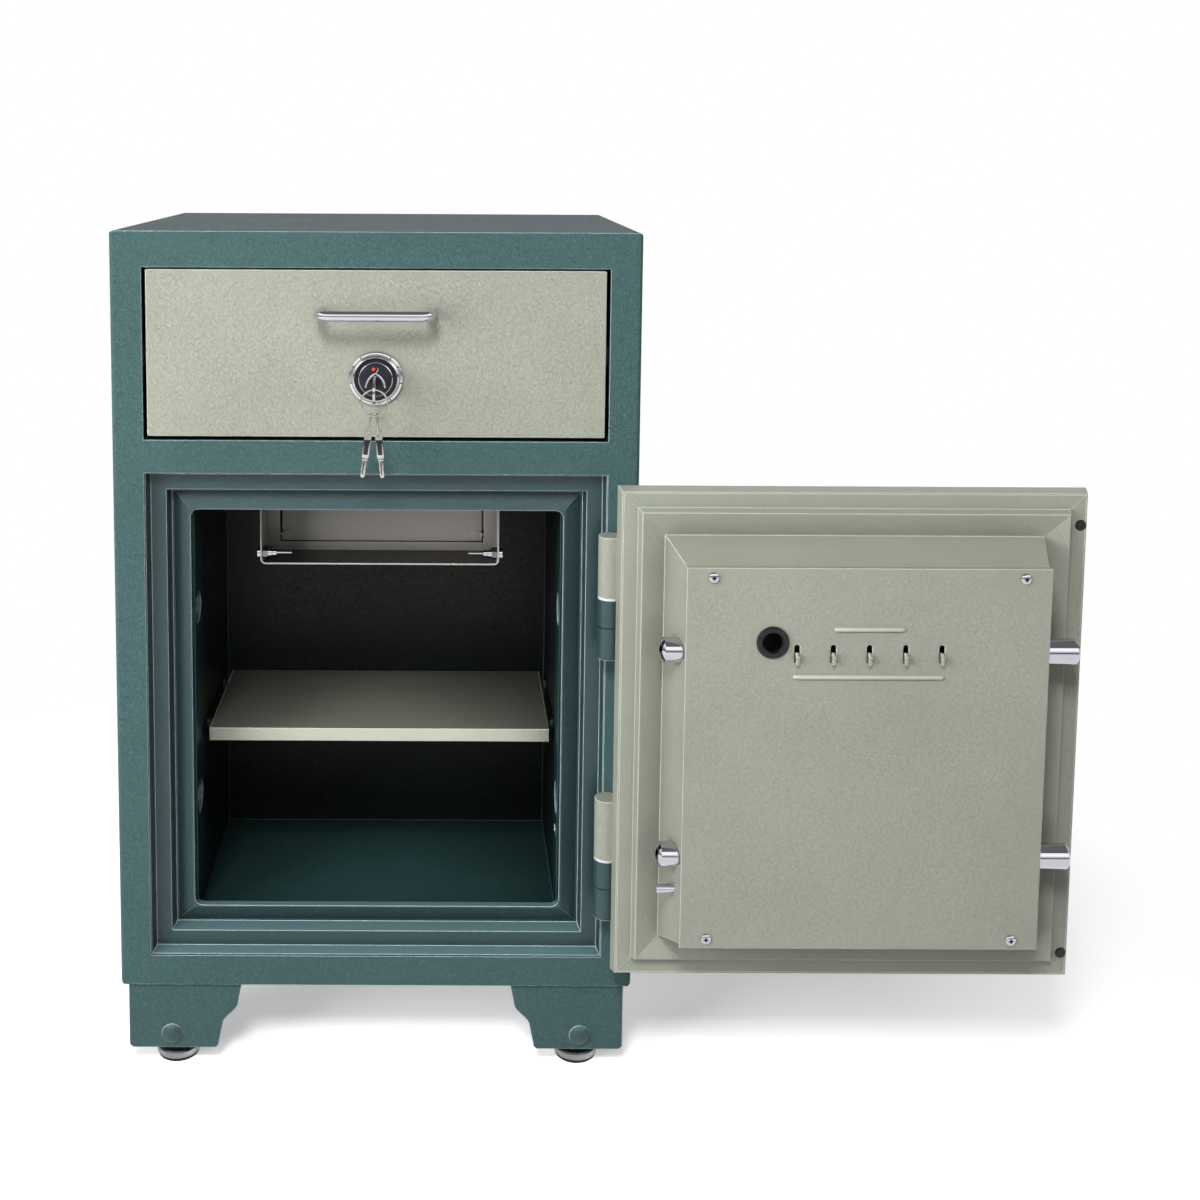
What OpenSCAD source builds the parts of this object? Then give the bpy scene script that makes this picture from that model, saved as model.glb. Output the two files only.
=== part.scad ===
// Drop safe with a deposit drawer above a fire-insulated vault.
// Origin: middle of the floor-anchor line on the underside of the cabinet.
// +X runs to the hinge side, +Y into the cabinet, +Z up. The door stands open.

/* [Cabinet] */
// Width of the cabinet
body_w = 500; // [460:1:560]
// Depth of the cabinet
body_d = 380; // [350:1:460]
// Thickness of the outer steel sheet
skin_t = 2.5; // [1.5:0.1:4]
// Radius of the folded outer edges
edge_r = 4; // [2:0.5:8]
// Distance from the front face back to the floor anchors
anchor_inset = 46; // [40:1:50]
// Spacing of the two floor anchors
anchor_pitch = 220; // [150:1:280]
// Diameter of a floor anchor hole
anchor_d = 14; // [8:0.5:18]

/* [Door opening] */
// Width of the case face beside the door opening
side_face = 30; // [27:0.5:36]
// Height of the door opening
door_open_h = 480; // [470:1:540]
// Height of the opening above the cabinet underside
door_open_z = 30; // [26:1:36]
// Depth of the outer rebate that takes the door slab
rebate_d = 13.5; // [13:0.5:16]
// Taper of the rebate walls
rebate_taper = 3.5; // [1:0.1:5]
// Width of the flat face between rebate and groove
seat_w = 15; // [12:0.5:16]
// Depth of the frame's groove behind that face
groove_d = 14; // [13:0.5:15]
// Height of the inner lip above the groove bottom
lip_h = 6; // [3:0.5:7]
// Distance from the opening's edge to the inner lip
lip_inset = 40; // [38:0.5:42]

/* [Vault] */
// Step from the frame's inner lip in to the vault wall
wall_step = 2; // [1:0.5:5]
// Inner depth measured from the front face
vault_back = 236; // [225:1:300]
// Height of the vault floor above the opening's lower edge
floor_up = 26; // [20:1:36]
// Drop of the vault ceiling below the opening's upper edge
ceiling_drop = 36; // [32:1:39]
// Thickness of the liner sheet
liner_t = 2; // [1:0.1:3]
// Height of the shelf's top face
shelf_z = 232; // [220:1:300]
// Height of the folded front lip of the shelf
shelf_lip = 13; // [8:0.5:20]
// Distance from the front face to the shelf's front edge
shelf_front = 70; // [70:1:120]
// Gap between the shelf and the vault's side walls
shelf_side = 6; // [3:0.5:9]

/* [Locking bolts] */
// Diameter of a locking bolt
bolt_d = 23; // [18:0.5:24]
// Drop of the upper bolts below the opening's upper edge
bolt_top_in = 145; // [130:1:160]
// Height of the lower bolts above the opening's lower edge
bolt_low_in = 141; // [130:1:160]
// Depth of the bolt axes behind the front face when shut
bolt_y = 47; // [46:0.5:47.5]
// How far the lock-side bolts travel
bolt_throw = 24; // [23.5:0.5:25]
// How far a thrown bolt reaches past the vault wall
bolt_reach = 18; // [15:0.5:19]
// How far a fixed bolt reaches past the vault wall
fixed_reach = 6.5; // [5:0.5:7.5]
// Height of the fixed bolts' domed tips
fixed_dome = 5.5; // [3:0.5:7]
// Diameter of a bolt socket in the vault wall
socket_d = 32; // [31:0.5:32]
// Depth of a bolt socket
socket_depth = 24; // [22:1:30]
// Distance of the locating pin below the lower bolts
pin_drop = 33; // [26:1:40]
// How far the locating pin reaches past the vault wall
pin_reach = 4; // [2:0.5:5]

/* [Door] */
// Gap beside the slab at the lock side
gap_lock = 1.2; // [0.8:0.1:2]
// Gap beside the slab at the hinge side
gap_hinge = 2.3; // [2:0.1:3]
// Gap under the slab
gap_low = 2; // [1:0.5:4]
// Gap above the slab
gap_top = 4; // [2:0.5:5]
// Thickness of the door slab
slab_t = 12; // [10:0.5:12.5]
// Inset of the slab's edges at its inner face
slab_taper = 3; // [2.5:0.1:4]
// Width of the slab's flat inner border
border_w = 18; // [18:0.5:19]
// Height of the ridge inside the border
ridge_h = 8; // [6:0.5:9]
// Clearance of the plug's foot inside the frame's lip
plug_gap = 2; // [1.5:0.5:4]
// Inset of the plug's slope
plug_slope = 14; // [12:0.5:16]
// Further inset of the slope at the plug's top and bottom
slope_more = 4; // [0:0.5:6]
// Height of the plug above the slab's inner face
plug_h = 48.5; // [48.5:0.5:50]
// Height of the cover lid
cover_h = 6; // [5:0.5:8]
// Thickness of the cover sheet
cover_t = 1.5; // [1:0.1:2]
// Angle at which the door stands open
door_angle = 180; // [170:0.5:180]

/* [Hinges] */
// Radius of a hinge barrel
barrel_r = 11.5; // [10:0.5:11.5]
// Radius of a hinge pin
pin_r = 5; // [4:0.1:6]
// Length of a hinge barrel
barrel_l = 58; // [40:1:60]
// Thickness of a hinge washer
washer_t = 2; // [1:0.1:3]
// Drop of the upper hinge's washer below the opening's upper edge
hinge_top_in = 115; // [100:1:130]
// Height of the lower hinge's washer above the opening's lower edge
hinge_low_in = 108; // [90:1:120]

/* [Deposit drawer] */
// Height of the case face between the two openings
mid_face = 32; // [28:1:40]
// Height of the drawer opening
drawer_open_h = 164; // [160:1:180]
// Height of the case face above the drawer opening
top_face = 34; // [28:1:60]
// Gap around the drawer front
drawer_gap = 4; // [2:0.5:5]
// Thickness of the drawer front
drawer_front_t = 16; // [12:1:20]
// Depth of the drawer behind the front face
drawer_depth = 216; // [214:1:224]
// Travel of the drawer
drawer_travel = 115; // [90:1:118]
// Length of the open well at the drawer's rear
well_l = 76; // [60:1:78]
// Width of the well and of the drop shaft
well_w = 210; // [160:1:212]
// Width of the drawer handle between post centres
handle_w = 104; // [80:1:160]
// Radius of the handle bar
handle_r = 5; // [3:0.5:7]
// Height of the handle bar above the drawer lock
handle_up = 62; // [45:1:75]
// Height of the drawer lock above the drawer opening's lower edge
lock_up = 60; // [52:1:70]

/* [Drop chute] */
// Half width of the chute outside
chute_half = 120.5; // [118:0.5:130]
// Distance from the front face to the chute's open front
chute_front = 80; // [78:1:90]
// Height of the chute below the vault ceiling
chute_h = 75; // [71:1:84]
// Distance from the front face to the flap's pivot
flap_y = 134; // [130:1:136]
// Height of the flap's pivot above the chute's underside
pivot_up = 17; // [15:1:20]
// Height of the flap above its pivot
flap_h = 52; // [40:1:53]
// Height of the flap below its pivot
flap_tail = 6.5; // [3:0.5:7]
// Lean of the closed flap
flap_lean = 6; // [2:0.5:8]

/* [Legs] */
// Width of a leg at its top
leg_w = 111; // [90:1:130]
// Height of a leg
leg_h = 67; // [50:1:90]
// Thickness of the leg sheet
leg_t = 3; // [2:0.5:5]
// Inset of a leg from the cabinet's sides
leg_inset = 7; // [4:0.5:12]
// Radius of a levelling foot
foot_r = 21.5; // [15:0.5:25]
// Height of the floor below the legs
foot_drop = 19; // [16:1:30]

/* [Hidden] */
$fn = 48;

teal = "#4f6d6f";
sage = "#a3ab97";
steel = "#c9cbd0";
grey = "#77736c";
black = "#1c1d22";
fill_grey = "#b9b3a6";

cut = 1;
slide_gap = 0.3;
front = -anchor_inset;
fit_gap = 0.05;

// Vertical band of the door opening and its nested steps
door_open_w = body_w - 2 * side_face;
rebate_in = rebate_taper;
seat_in = rebate_in + seat_w;
groove_y = rebate_d + groove_d;
frame_back = groove_y + liner_t;
crest_y = groove_y - lip_h;
door_open_top = door_open_z + door_open_h;
lip_r = 8;

// Heights that follow from the openings
drawer_open_z = door_open_top + mid_face;
body_h = drawer_open_z + drawer_open_h + top_face;
vault_floor = door_open_z + floor_up;
vault_top = door_open_top - ceiling_drop;
bolt_z_top = door_open_top - bolt_top_in;
bolt_z_low = door_open_z + bolt_low_in;
hinge_z_top = door_open_top - hinge_top_in;
hinge_z_low = door_open_z + hinge_low_in;
lock_z = drawer_open_z + lock_up;
handle_z = lock_z + handle_up;
chute_z = vault_top - chute_h;
flap_z = chute_z + pivot_up;
floor_drop = leg_h + foot_drop;
vault_w = door_open_w - 2 * (lip_inset + wall_step);

// Door slab, closed
door_x0 = -door_open_w / 2 + gap_lock;
door_x1 = door_open_w / 2 - gap_hinge;
door_z0 = door_open_z + gap_low;
door_z1 = door_open_top - gap_top;
plug_inset = lip_inset + plug_gap;
crest_in = border_w + 3;
pan_t = 2;
plug_top_in = plug_inset + plug_slope;
plug_y = slab_t + plug_h;
cover_y = plug_y + cover_h;

// Hinge axis, tangent to the front face
hinge_x = door_x1 + 4.5;
hinge_y = front - barrel_r;

function frame_box(inset) = [
    [-door_open_w / 2 + inset, door_open_z + inset],
    [door_open_w / 2 - inset, door_open_top - inset]
];
function door_box(inset) = [
    [door_x0 + inset, door_z0 + inset],
    [door_x1 - inset, door_z1 - inset]
];
// Inset of the slab's edge at depth y, and the plug's upper end, which is lower than it is narrow
function taper_at(y) = slab_taper * y / slab_t;
function plug_box(inset) = [
    [door_x0 + plug_top_in + inset, door_z0 + plug_top_in + slope_more + inset],
    [door_x1 - plug_top_in - inset, door_z1 - plug_top_in - slope_more - inset]
];

// A block between two upright rectangles, each [[x0, z0], [x1, z1]], at depths y0 and y1
module taper_block(a, y0, b, y1) {
    if (y0 < y1) taper_solid(a, y0, b, y1);
    else taper_solid(b, y1, a, y0);
}

module taper_solid(a, y0, b, y1) {
    polyhedron(
        points = [
            [a[0][0], y0, a[0][1]], [a[1][0], y0, a[0][1]],
            [a[1][0], y0, a[1][1]], [a[0][0], y0, a[1][1]],
            [b[0][0], y1, b[0][1]], [b[1][0], y1, b[0][1]],
            [b[1][0], y1, b[1][1]], [b[0][0], y1, b[1][1]]
        ],
        faces = [[3, 2, 1, 0], [4, 5, 6, 7], [0, 1, 5, 4], [1, 2, 6, 5], [2, 3, 7, 6], [3, 0, 4, 7]]
    );
}

// A straight block over one upright rectangle
module slab_block(a, y0, y1) {
    translate([a[0][0], y0, a[0][1]])
        cube([a[1][0] - a[0][0], y1 - y0, a[1][1] - a[0][1]]);
}

module round_rect(w, h, r) {
    translate([-w / 2 + r, -h / 2]) square([w - 2 * r, h]);
    translate([-w / 2, -h / 2 + r]) square([w, h - 2 * r]);
    for (x = [-w / 2 + r, w / 2 - r], z = [-h / 2 + r, h / 2 - r])
        translate([x, z]) circle(r);
}

// A plate standing upright, extruded towards +Y from y0 to y1
module upright(y0, y1) {
    translate([0, y1, 0]) rotate([90, 0, 0]) linear_extrude(y1 - y0) children();
}

// A rod along Y and a rod along X
module rod_y(x, z, y0, y1, r) {
    translate([x, y1, z]) rotate([90, 0, 0]) cylinder(h = y1 - y0, r = r);
}
module rod_x(y, z, x0, x1, r) {
    translate([x0, y, z]) rotate([0, 90, 0]) cylinder(h = x1 - x0, r = r);
}

// Turns the door's pieces from shut to where the door stands
module door_pose() {
    translate([hinge_x, hinge_y, 0]) rotate([0, 0, door_angle])
        translate([-hinge_x, -hinge_y, 0]) children();
}

// Cabinet

module body_shell() color(teal) {
    difference() {
        intersection() {
            translate([0, front + body_d / 2, 0])
                linear_extrude(body_h) round_rect(body_w, body_d, edge_r);
            upright(front, front + body_d)
                translate([0, body_h / 2]) round_rect(body_w, body_h, edge_r);
        }
        translate([-body_w / 2 + skin_t, front + skin_t, skin_t])
            cube([body_w - 2 * skin_t, body_d - 2 * skin_t, body_h - 2 * skin_t]);
        slab_block(frame_box(0), front - cut, front + skin_t + cut);
        slab_block(bay_box(0), front - cut, front + skin_t + cut);
        anchors(-cut, skin_t + cut);
    }
}

module anchors(z0, z1) {
    for (x = [-anchor_pitch / 2, anchor_pitch / 2])
        translate([x, 0, z0]) cylinder(h = z1 - z0, d = anchor_d);
}

function bay_box(grow) = [
    [-door_open_w / 2 - grow, drawer_open_z - grow],
    [door_open_w / 2 + grow, drawer_open_z + drawer_open_h + grow]
];
bay_back = drawer_depth + 8;
shaft_y0 = drawer_depth - 2 - well_l;
shaft_y1 = drawer_depth - 2;
vault_box = [[-vault_w / 2, vault_floor], [vault_w / 2, vault_top]];
vault_out = [
    [-vault_w / 2 - liner_t, vault_floor - liner_t],
    [vault_w / 2 + liner_t, vault_top + liner_t]
];
socket_out = 1.5;

module fire_fill() color(fill_grey) {
    difference() {
        translate([-body_w / 2 + skin_t, front + skin_t, skin_t])
            cube([body_w - 2 * skin_t, body_d - 2 * skin_t, body_h - 2 * skin_t]);
        slab_block(frame_box(-6), front + skin_t - cut, front + frame_back);
        slab_block(vault_out, front + skin_t, front + vault_back + liner_t);
        slab_block(bay_box(liner_t), front + skin_t - cut, front + bay_back + liner_t);
        anchors(skin_t - cut, vault_floor);
        translate([-well_w / 2 - liner_t, front + shaft_y0 - liner_t, vault_top])
            cube([well_w + 2 * liner_t, well_l + 2 * liner_t, drawer_open_z - vault_top]);
        keeper_room(keeper[0][2], drawer_open_z);
        for (s = [-1, 1], z = [bolt_z_top, bolt_z_low])
            socket_room(s, z, socket_d / 2 + socket_out, socket_depth + socket_out);
        socket_room(1, pin_z, pin_socket_r + socket_out, socket_depth / 2 + socket_out);
    }
}

// A round recess outwards from the vault wall on side s
module socket_room(s, z, r, depth) {
    x = vault_w / 2;
    rod_x(front + bolt_y, z, s > 0 ? x - cut : -x - depth, s > 0 ? x + depth : -x + cut, r);
}

pin_z = bolt_z_low - pin_drop;
pin_socket_r = 9;

module door_frame() color(teal) {
    difference() {
        union() {
            difference() {
                slab_block(frame_box(-6), front + skin_t, front + frame_back);
                taper_block(frame_box(0), front, frame_box(rebate_in), front + rebate_d);
                slab_block(frame_box(0), front - cut, front + skin_t / 2);
                taper_block(frame_box(seat_in), front + rebate_d - 0.01,
                    frame_box(seat_in + 2.5), front + groove_y);
            }
            taper_block(frame_box(seat_in + 4.5), front + groove_y,
                frame_box(lip_inset - 1.5), front + crest_y);
        }
        upright(front - cut, front + frame_back + cut)
            translate([0, door_open_z + door_open_h / 2])
                round_rect(door_open_w - 2 * lip_inset, door_open_h - 2 * lip_inset, lip_r);
    }
}

module vault_liner() color(teal) {
    difference() {
        slab_block(vault_out, front + frame_back, front + vault_back + liner_t);
        slab_block(vault_box, front + frame_back - cut, front + vault_back);
        for (s = [-1, 1], z = [bolt_z_top, bolt_z_low])
            socket_room(s, z, socket_d / 2, liner_t + cut);
        socket_room(1, pin_z, pin_socket_r, liner_t + cut);
        anchors(vault_floor - liner_t - cut, vault_floor + cut);
        translate([-well_w / 2, front + shaft_y0, vault_top - cut])
            cube([well_w, well_l, liner_t + 2 * cut]);
        for (s = [-1, 1], y = peg_y, z = [peg_z])
            rod_x(y, z, s * (vault_w / 2 + liner_t / 2) - liner_t, s * (vault_w / 2 + liner_t / 2) + liner_t, peg_r + 0.02);
    }
}

// A dished cup let into the vault wall, turned about the bolt's axis
module cup(r, depth) {
    rotate_extrude() polygon([
        [0, 0], [r + socket_out - 0.1, 0], [r + socket_out - 0.1, depth - liner_t], [r, depth - liner_t],
        [r, depth], [r - 0.6, depth], [r - 2.5, depth - 5], [r - 2.5, socket_out], [0, socket_out]
    ]);
}

module socket_at(s, z, r, depth) {
    translate([s * (vault_w / 2 + depth), front + bolt_y, z])
        rotate([0, -s * 90, 0]) cup(r, depth);
}

module bolt_sockets() color(teal) {
    for (s = [-1, 1], z = [bolt_z_top, bolt_z_low])
        socket_at(s, z, socket_d / 2, socket_depth);
    socket_at(1, pin_z, pin_socket_r, socket_depth / 2);
}

module drawer_bay() color(teal) {
    difference() {
        slab_block(bay_box(liner_t), front + skin_t, front + bay_back + liner_t);
        slab_block(bay_box(0), front, front + bay_back);
        translate([-well_w / 2, front + shaft_y0, drawer_open_z - liner_t - cut])
            cube([well_w, well_l, liner_t + 2 * cut]);
        keeper_room(drawer_open_z - liner_t - cut, drawer_open_z + cut);
    }
}

module drop_throat() color(grey) {
    translate([0, front + shaft_y0, vault_top + liner_t]) difference() {
        translate([-well_w / 2 - liner_t, -liner_t, 0])
            cube([well_w + 2 * liner_t, well_l + 2 * liner_t, drawer_open_z - vault_top - 2 * liner_t]);
        translate([-well_w / 2, 0, -cut])
            cube([well_w, well_l, drawer_open_z - vault_top]);
    }
}

// Shelf on four pegs

shelf_t = 1.5;
shelf_w = vault_w - 2 * shelf_side;
peg_r = 3;
peg_z = shelf_z - shelf_t - peg_r;
shelf_back = vault_back - 2;
peg_y = [front + shelf_front + 25, front + shelf_back - 30];

module shelf() color(sage) {
    y = front + shelf_front;
    d = shelf_back - shelf_front;
    difference() {
        translate([-shelf_w / 2, y, shelf_z - shelf_lip]) cube([shelf_w, d, shelf_lip]);
        translate([-shelf_w / 2 + shelf_t, y + shelf_t, shelf_z - shelf_lip - cut])
            cube([shelf_w - 2 * shelf_t, d - 2 * shelf_t, shelf_lip - shelf_t + cut]);
        for (s = [-1, 1], py = peg_y)
            translate([s * (shelf_w / 2 - shelf_t / 2) - shelf_t, py - peg_r - fit_gap, shelf_z - shelf_lip - cut])
                cube([2 * shelf_t, 2 * (peg_r + fit_gap), shelf_lip - shelf_t + cut]);
    }
}

module shelf_pegs() color(steel) {
    peg_in = 9;
    for (s = [-1, 1], y = peg_y) {
        x0 = s > 0 ? vault_w / 2 - shelf_side - peg_in : -vault_w / 2 - liner_t;
        rod_x(y, peg_z, x0, x0 + shelf_side + peg_in + liner_t, peg_r);
        xc = s > 0 ? vault_w / 2 - 2 : -vault_w / 2;
        rod_x(y, peg_z, xc, xc + 2, peg_r + 2);
    }
}

// Drop chute under the vault ceiling

chute_t = 1.5;
chute_bend = 5;
chute_back = shaft_y1 + liner_t;
stud_y = front + chute_front + 8;
stud_z = chute_z + 10;
stud_r = 3;
cheek_y = flap_y + 12;
flap_half = 105;
flap_t = 1.5;
ear_r = 6;
ear_pin_r = 1.6;

// A rectangle from z0 to z1 with its two lower corners rounded
module trough(half, z0, z1, r) {
    translate([-half, z0 + r]) square([2 * half, z1 - z0 - r]);
    translate([-half + r, z0]) square([2 * (half - r), r + 0.01]);
    for (x = [-half + r, half - r]) translate([x, z0 + r]) circle(r);
}

module chute_shell() color(grey) {
    difference() {
        upright(front + chute_front, front + chute_back)
            trough(chute_half, chute_z, vault_top, chute_bend);
        upright(front + chute_front - cut, front + chute_back - chute_t)
            trough(chute_half - chute_t, chute_z + chute_t, vault_top + cut, chute_bend - chute_t);
        for (s = [-1, 1])
            rod_x(stud_y, stud_z, s * chute_half - 2 * chute_t, s * chute_half + 2 * chute_t, stud_r + fit_gap);
    }
}

// Upright frame behind the flap: two flanges, a bottom rail and two ears for the pins
module chute_frame() color(grey) {
    inner = chute_half - chute_t;
    z0 = chute_z + chute_bend;
    for (s = [-1, 1]) {
        x0 = s > 0 ? flap_half + 1 : -inner;
        translate([x0, front + flap_y - 5, z0]) cube([inner - flap_half - 1, 1.5, vault_top - z0]);
        xs = s > 0 ? inner - 1.5 : -inner;
        translate([xs, front + flap_y - 3.5, z0]) cube([1.5, 22, vault_top - z0]);
        xe = s > 0 ? flap_half + 1 : -flap_half - 2.5;
        difference() {
            translate([xe, front + flap_y - 5, z0]) cube([1.5, 5 + ear_r, flap_z - z0 + ear_r]);
            rod_x(front + flap_y, flap_z, xe - cut, xe + 1.5 + cut, ear_pin_r);
        }
    }
    translate([-inner, front + flap_y - 5, z0]) cube([2 * inner, 1.5, flap_z - flap_tail - slide_gap - z0]);
    rail_half = inner - chute_bend;
    translate([-rail_half, front + flap_y - 5, chute_z + chute_t]) cube([2 * rail_half, 1.5, z0 - chute_z]);
}

module flap_pose() {
    translate([0, front + flap_y, flap_z]) rotate([-flap_lean, 0, 0]) children();
}

module chute_flap() color(grey) {
    w = flap_half - 0.5;
    flap_pose() difference() {
        union() {
            translate([-w, -flap_t / 2, -flap_tail]) cube([2 * w, flap_t, flap_h + flap_tail]);
            translate([-w, -flap_t / 2, flap_h - flap_t]) cube([2 * w, 6, flap_t]);
            for (s = [-1, 1]) {
                xe = s > 0 ? w - 1.5 : -w;
                rod_x(0, 0, xe, xe + 1.5, ear_r - 1.5);
                translate([xe, 0, 0]) cube([1.5, ear_r - 1.5, 14]);
                rod_y(s * (flap_half - 6.5), 0, -flap_t / 2 - 1.2, -flap_t / 2 + 0.2, ear_r - 1);
            }
        }
        for (s = [-1, 1])
            rod_x(0, 0, s > 0 ? w - 4 : -w - cut, s > 0 ? w + cut : -w + 4, ear_pin_r + fit_gap);
    }
}

module flap_pins() color(steel) {
    for (s = [-1, 1]) {
        x0 = s > 0 ? flap_half - 3 : -flap_half - 5;
        rod_x(front + flap_y, flap_z, x0, x0 + 8, ear_pin_r);
        xh = s > 0 ? flap_half + 2.5 : -flap_half - 4.5;
        rod_x(front + flap_y, flap_z, xh, xh + 2, ear_pin_r + 1.4);
    }
}

module chute_studs() color(steel) {
    for (s = [-1, 1]) mirror([s > 0 ? 0 : 1, 0, 0]) {
        rod_x(stud_y, stud_z, chute_half, chute_half + 3.5, 5.5);
        rod_x(stud_y, stud_z, chute_half - 16, chute_half + 1, stud_r);
        rod_x(stud_y, stud_z, chute_half - 31, chute_half - 15, 1.3);
    }
}

module chute_nuts() color(steel) {
    for (s = [-1, 1]) mirror([s > 0 ? 0 : 1, 0, 0])
        difference() {
            translate([chute_half - chute_t - 5.5, stud_y, stud_z]) rotate([0, 90, 0])
                cylinder(h = 5.5, r = 6, $fn = 6);
            rod_x(stud_y, stud_z, chute_half - 9, chute_half, stud_r + 0.02);
        }
}

module chute_spacers() color(steel) {
    for (s = [-1, 1], i = [0, 1]) mirror([s > 0 ? 0 : 1, 0, 0])
        difference() {
            rod_x(stud_y, stud_z, chute_half - 11 - i * 4.5, chute_half - 7 - i * 4.5, 4.6 - i * 0.6);
            rod_x(stud_y, stud_z, chute_half - 17, chute_half, stud_r + 0.02);
        }
}

// Legs and feet

foot_in = 44;
foot_back = 26;
leg_depth = 90;
bolt_drop = leg_h - 14;

// Outline of a leg's face, from its outer top corner; x inwards, y up
module leg_face() {
    r = 5;
    foot = leg_w * 0.79;
    shoulder = [leg_w * 0.965, -leg_h * 0.3];
    waist = [leg_w * 0.825, -leg_h * 0.64];
    steps = 12;
    swell = [for (i = [0:steps]) let (t = i / steps, s = (1 - cos(180 * t)) / 2)
        [shoulder[0] + (waist[0] - shoulder[0]) * s, shoulder[1] + (waist[1] - shoulder[1]) * t]];
    polygon(concat([[0, 0], [leg_w, 0]], swell,
        [[foot, -leg_h + r], [foot - r, -leg_h + r], [foot - r, -leg_h], [r, -leg_h], [r, -leg_h + r],
            [0, -leg_h + r]]));
    for (x = [foot - r, r]) translate([x, -leg_h + r]) circle(r);
}

module leg_plain() {
    difference() {
        union() {
            translate([0, leg_t, 0]) rotate([90, 0, 0]) linear_extrude(leg_t) leg_face();
            rotate([90, 0, 90]) linear_extrude(leg_t)
                polygon([
                    [0, 0], [leg_depth, 0], [leg_depth - 12, -leg_h * 0.55],
                    [leg_depth - 20, -leg_h], [4, -leg_h], [0, -leg_h + 4]
                ]);
            translate([leg_t, leg_t, -leg_t]) cube([leg_w - 14, leg_depth - 12, leg_t]);
            translate([leg_t, leg_t, -leg_h + 1]) cube([leg_w * 0.7, 50, leg_t]);
        }
        translate([foot_in, foot_back, -leg_h - cut]) cylinder(h = leg_t + 3, r = 5 + fit_gap);
        rotate([-90, 0, 0]) translate([foot_in - 2, bolt_drop, -cut]) cylinder(h = leg_t + 2 * cut, r = 4 + fit_gap);
    }
}

leg_x = body_w / 2 - leg_inset;
leg_y0 = front + 3;
leg_y1 = front + body_d - 3;

module at_leg(sx, rear) {
    translate([sx * leg_x, rear ? leg_y1 : leg_y0, 0])
        mirror([sx > 0 ? 1 : 0, 0, 0]) mirror([0, rear ? 1 : 0, 0]) children();
}

module each_leg() {
    for (sx = [-1, 1], rear = [false, true]) at_leg(sx, rear) children();
}

module leg_front_left() color(teal) at_leg(-1, false) leg_plain();
module leg_front_right() color(teal) at_leg(1, false) leg_plain();
module leg_rear_left() color(teal) at_leg(-1, true) leg_plain();
module leg_rear_right() color(teal) at_leg(1, true) leg_plain();

module dome(r, h) {
    // Spherical cap of foot radius r and height h, along +Z
    big = (r * r + h * h) / (2 * h);
    intersection() {
        translate([0, 0, h - big]) sphere(big);
        cylinder(h = h + cut, r = r);
    }
}

module leg_bolts() color(teal) {
    each_leg() rotate([90, 0, 0]) translate([foot_in - 2, -bolt_drop, 0]) {
        dome(10.5, 5);
        translate([0, 0, -leg_t - 6]) cylinder(h = leg_t + 6.5, r = 4);
        translate([0, 0, -leg_t - 5]) cylinder(h = 5, r = 7, $fn = 6);
    }
}

pad_t = 3;

module levelling_feet() color(steel) {
    each_leg() translate([foot_in, foot_back, -floor_drop]) {
        translate([0, 0, pad_t]) rotate_extrude() polygon([
            [0, 0], [foot_r - 1, 0], [foot_r, 1], [foot_r, 6], [foot_r - 1.5, 7.5], [10, 8.5], [0, 8.5]
        ]);
        translate([0, 0, pad_t + 8]) cylinder(h = floor_drop - pad_t - 8 - leg_h + 20, r = 5);
        translate([0, 0, floor_drop - leg_h + 1 + leg_t]) cylinder(h = 6, r = 8.5, $fn = 6);
    }
}

module foot_pads() color(black) {
    each_leg() translate([foot_in, foot_back, -floor_drop]) cylinder(h = pad_t, r = foot_r - 1.5);
}

// Hinges

wing_t = 5;
wing_l = 24;
pin_clear = 0.06;

module hinge_barrels() color(teal) {
    for (z = [hinge_z_top, hinge_z_low]) translate([hinge_x, hinge_y, z - barrel_l]) difference() {
        union() {
            cylinder(h = barrel_l, r = barrel_r);
            translate([0, barrel_r - wing_t, 0]) cube([wing_l, wing_t, barrel_l]);
        }
        translate([0, 0, 8]) cylinder(h = barrel_l, r = pin_r + 0.01);
    }
}

module hinge_pins() color(steel) {
    for (z = [hinge_z_top, hinge_z_low]) translate([hinge_x, hinge_y, z - barrel_l + 8])
        cylinder(h = 2 * barrel_l + washer_t - 16, r = pin_r);
}

module hinge_washers() color("#e8e6ee") {
    for (z = [hinge_z_top, hinge_z_low]) translate([hinge_x, hinge_y, z]) difference() {
        cylinder(h = washer_t, r = barrel_r - 0.3);
        translate([0, 0, -cut]) cylinder(h = washer_t + 2 * cut, r = pin_r + 0.1);
    }
}

module door_barrels() color(sage) door_pose() {
    for (z = [hinge_z_top, hinge_z_low]) translate([hinge_x, hinge_y, z + washer_t + 0.1]) difference() {
        union() {
            cylinder(h = barrel_l, r = barrel_r);
            translate([-wing_l, barrel_r - wing_t, 0]) cube([wing_l, wing_t, barrel_l]);
        }
        translate([0, 0, -cut]) cylinder(h = barrel_l - 8 + cut, r = pin_r + pin_clear);
    }
}

// Door, drawn shut

skin = 1.5;
bush_r = bolt_d / 2 + 1;
spindle_in = 120;
dial_up = 79;
spindle_x = door_x0 + spindle_in;
spindle_z = (bolt_z_top + bolt_z_low) / 2;
dial_x = (door_x0 + door_x1) / 2;
dial_z = spindle_z + dial_up;
dial_r = 5;
spindle_r = 6;

module door_skin() color(sage) door_pose() {
    difference() {
        taper_block(door_box(0), front, door_box(slab_taper), front + slab_t);
        taper_block(door_box(skin + taper_at(skin)), front + skin,
            door_box(skin + taper_at(slab_t + cut)), front + slab_t + cut);
        rod_y(spindle_x, spindle_z, front - cut, front + slab_t, spindle_r + fit_gap);
        rod_y(dial_x, dial_z, front - cut, front + slab_t, 12 + fit_gap);
    }
}

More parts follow.
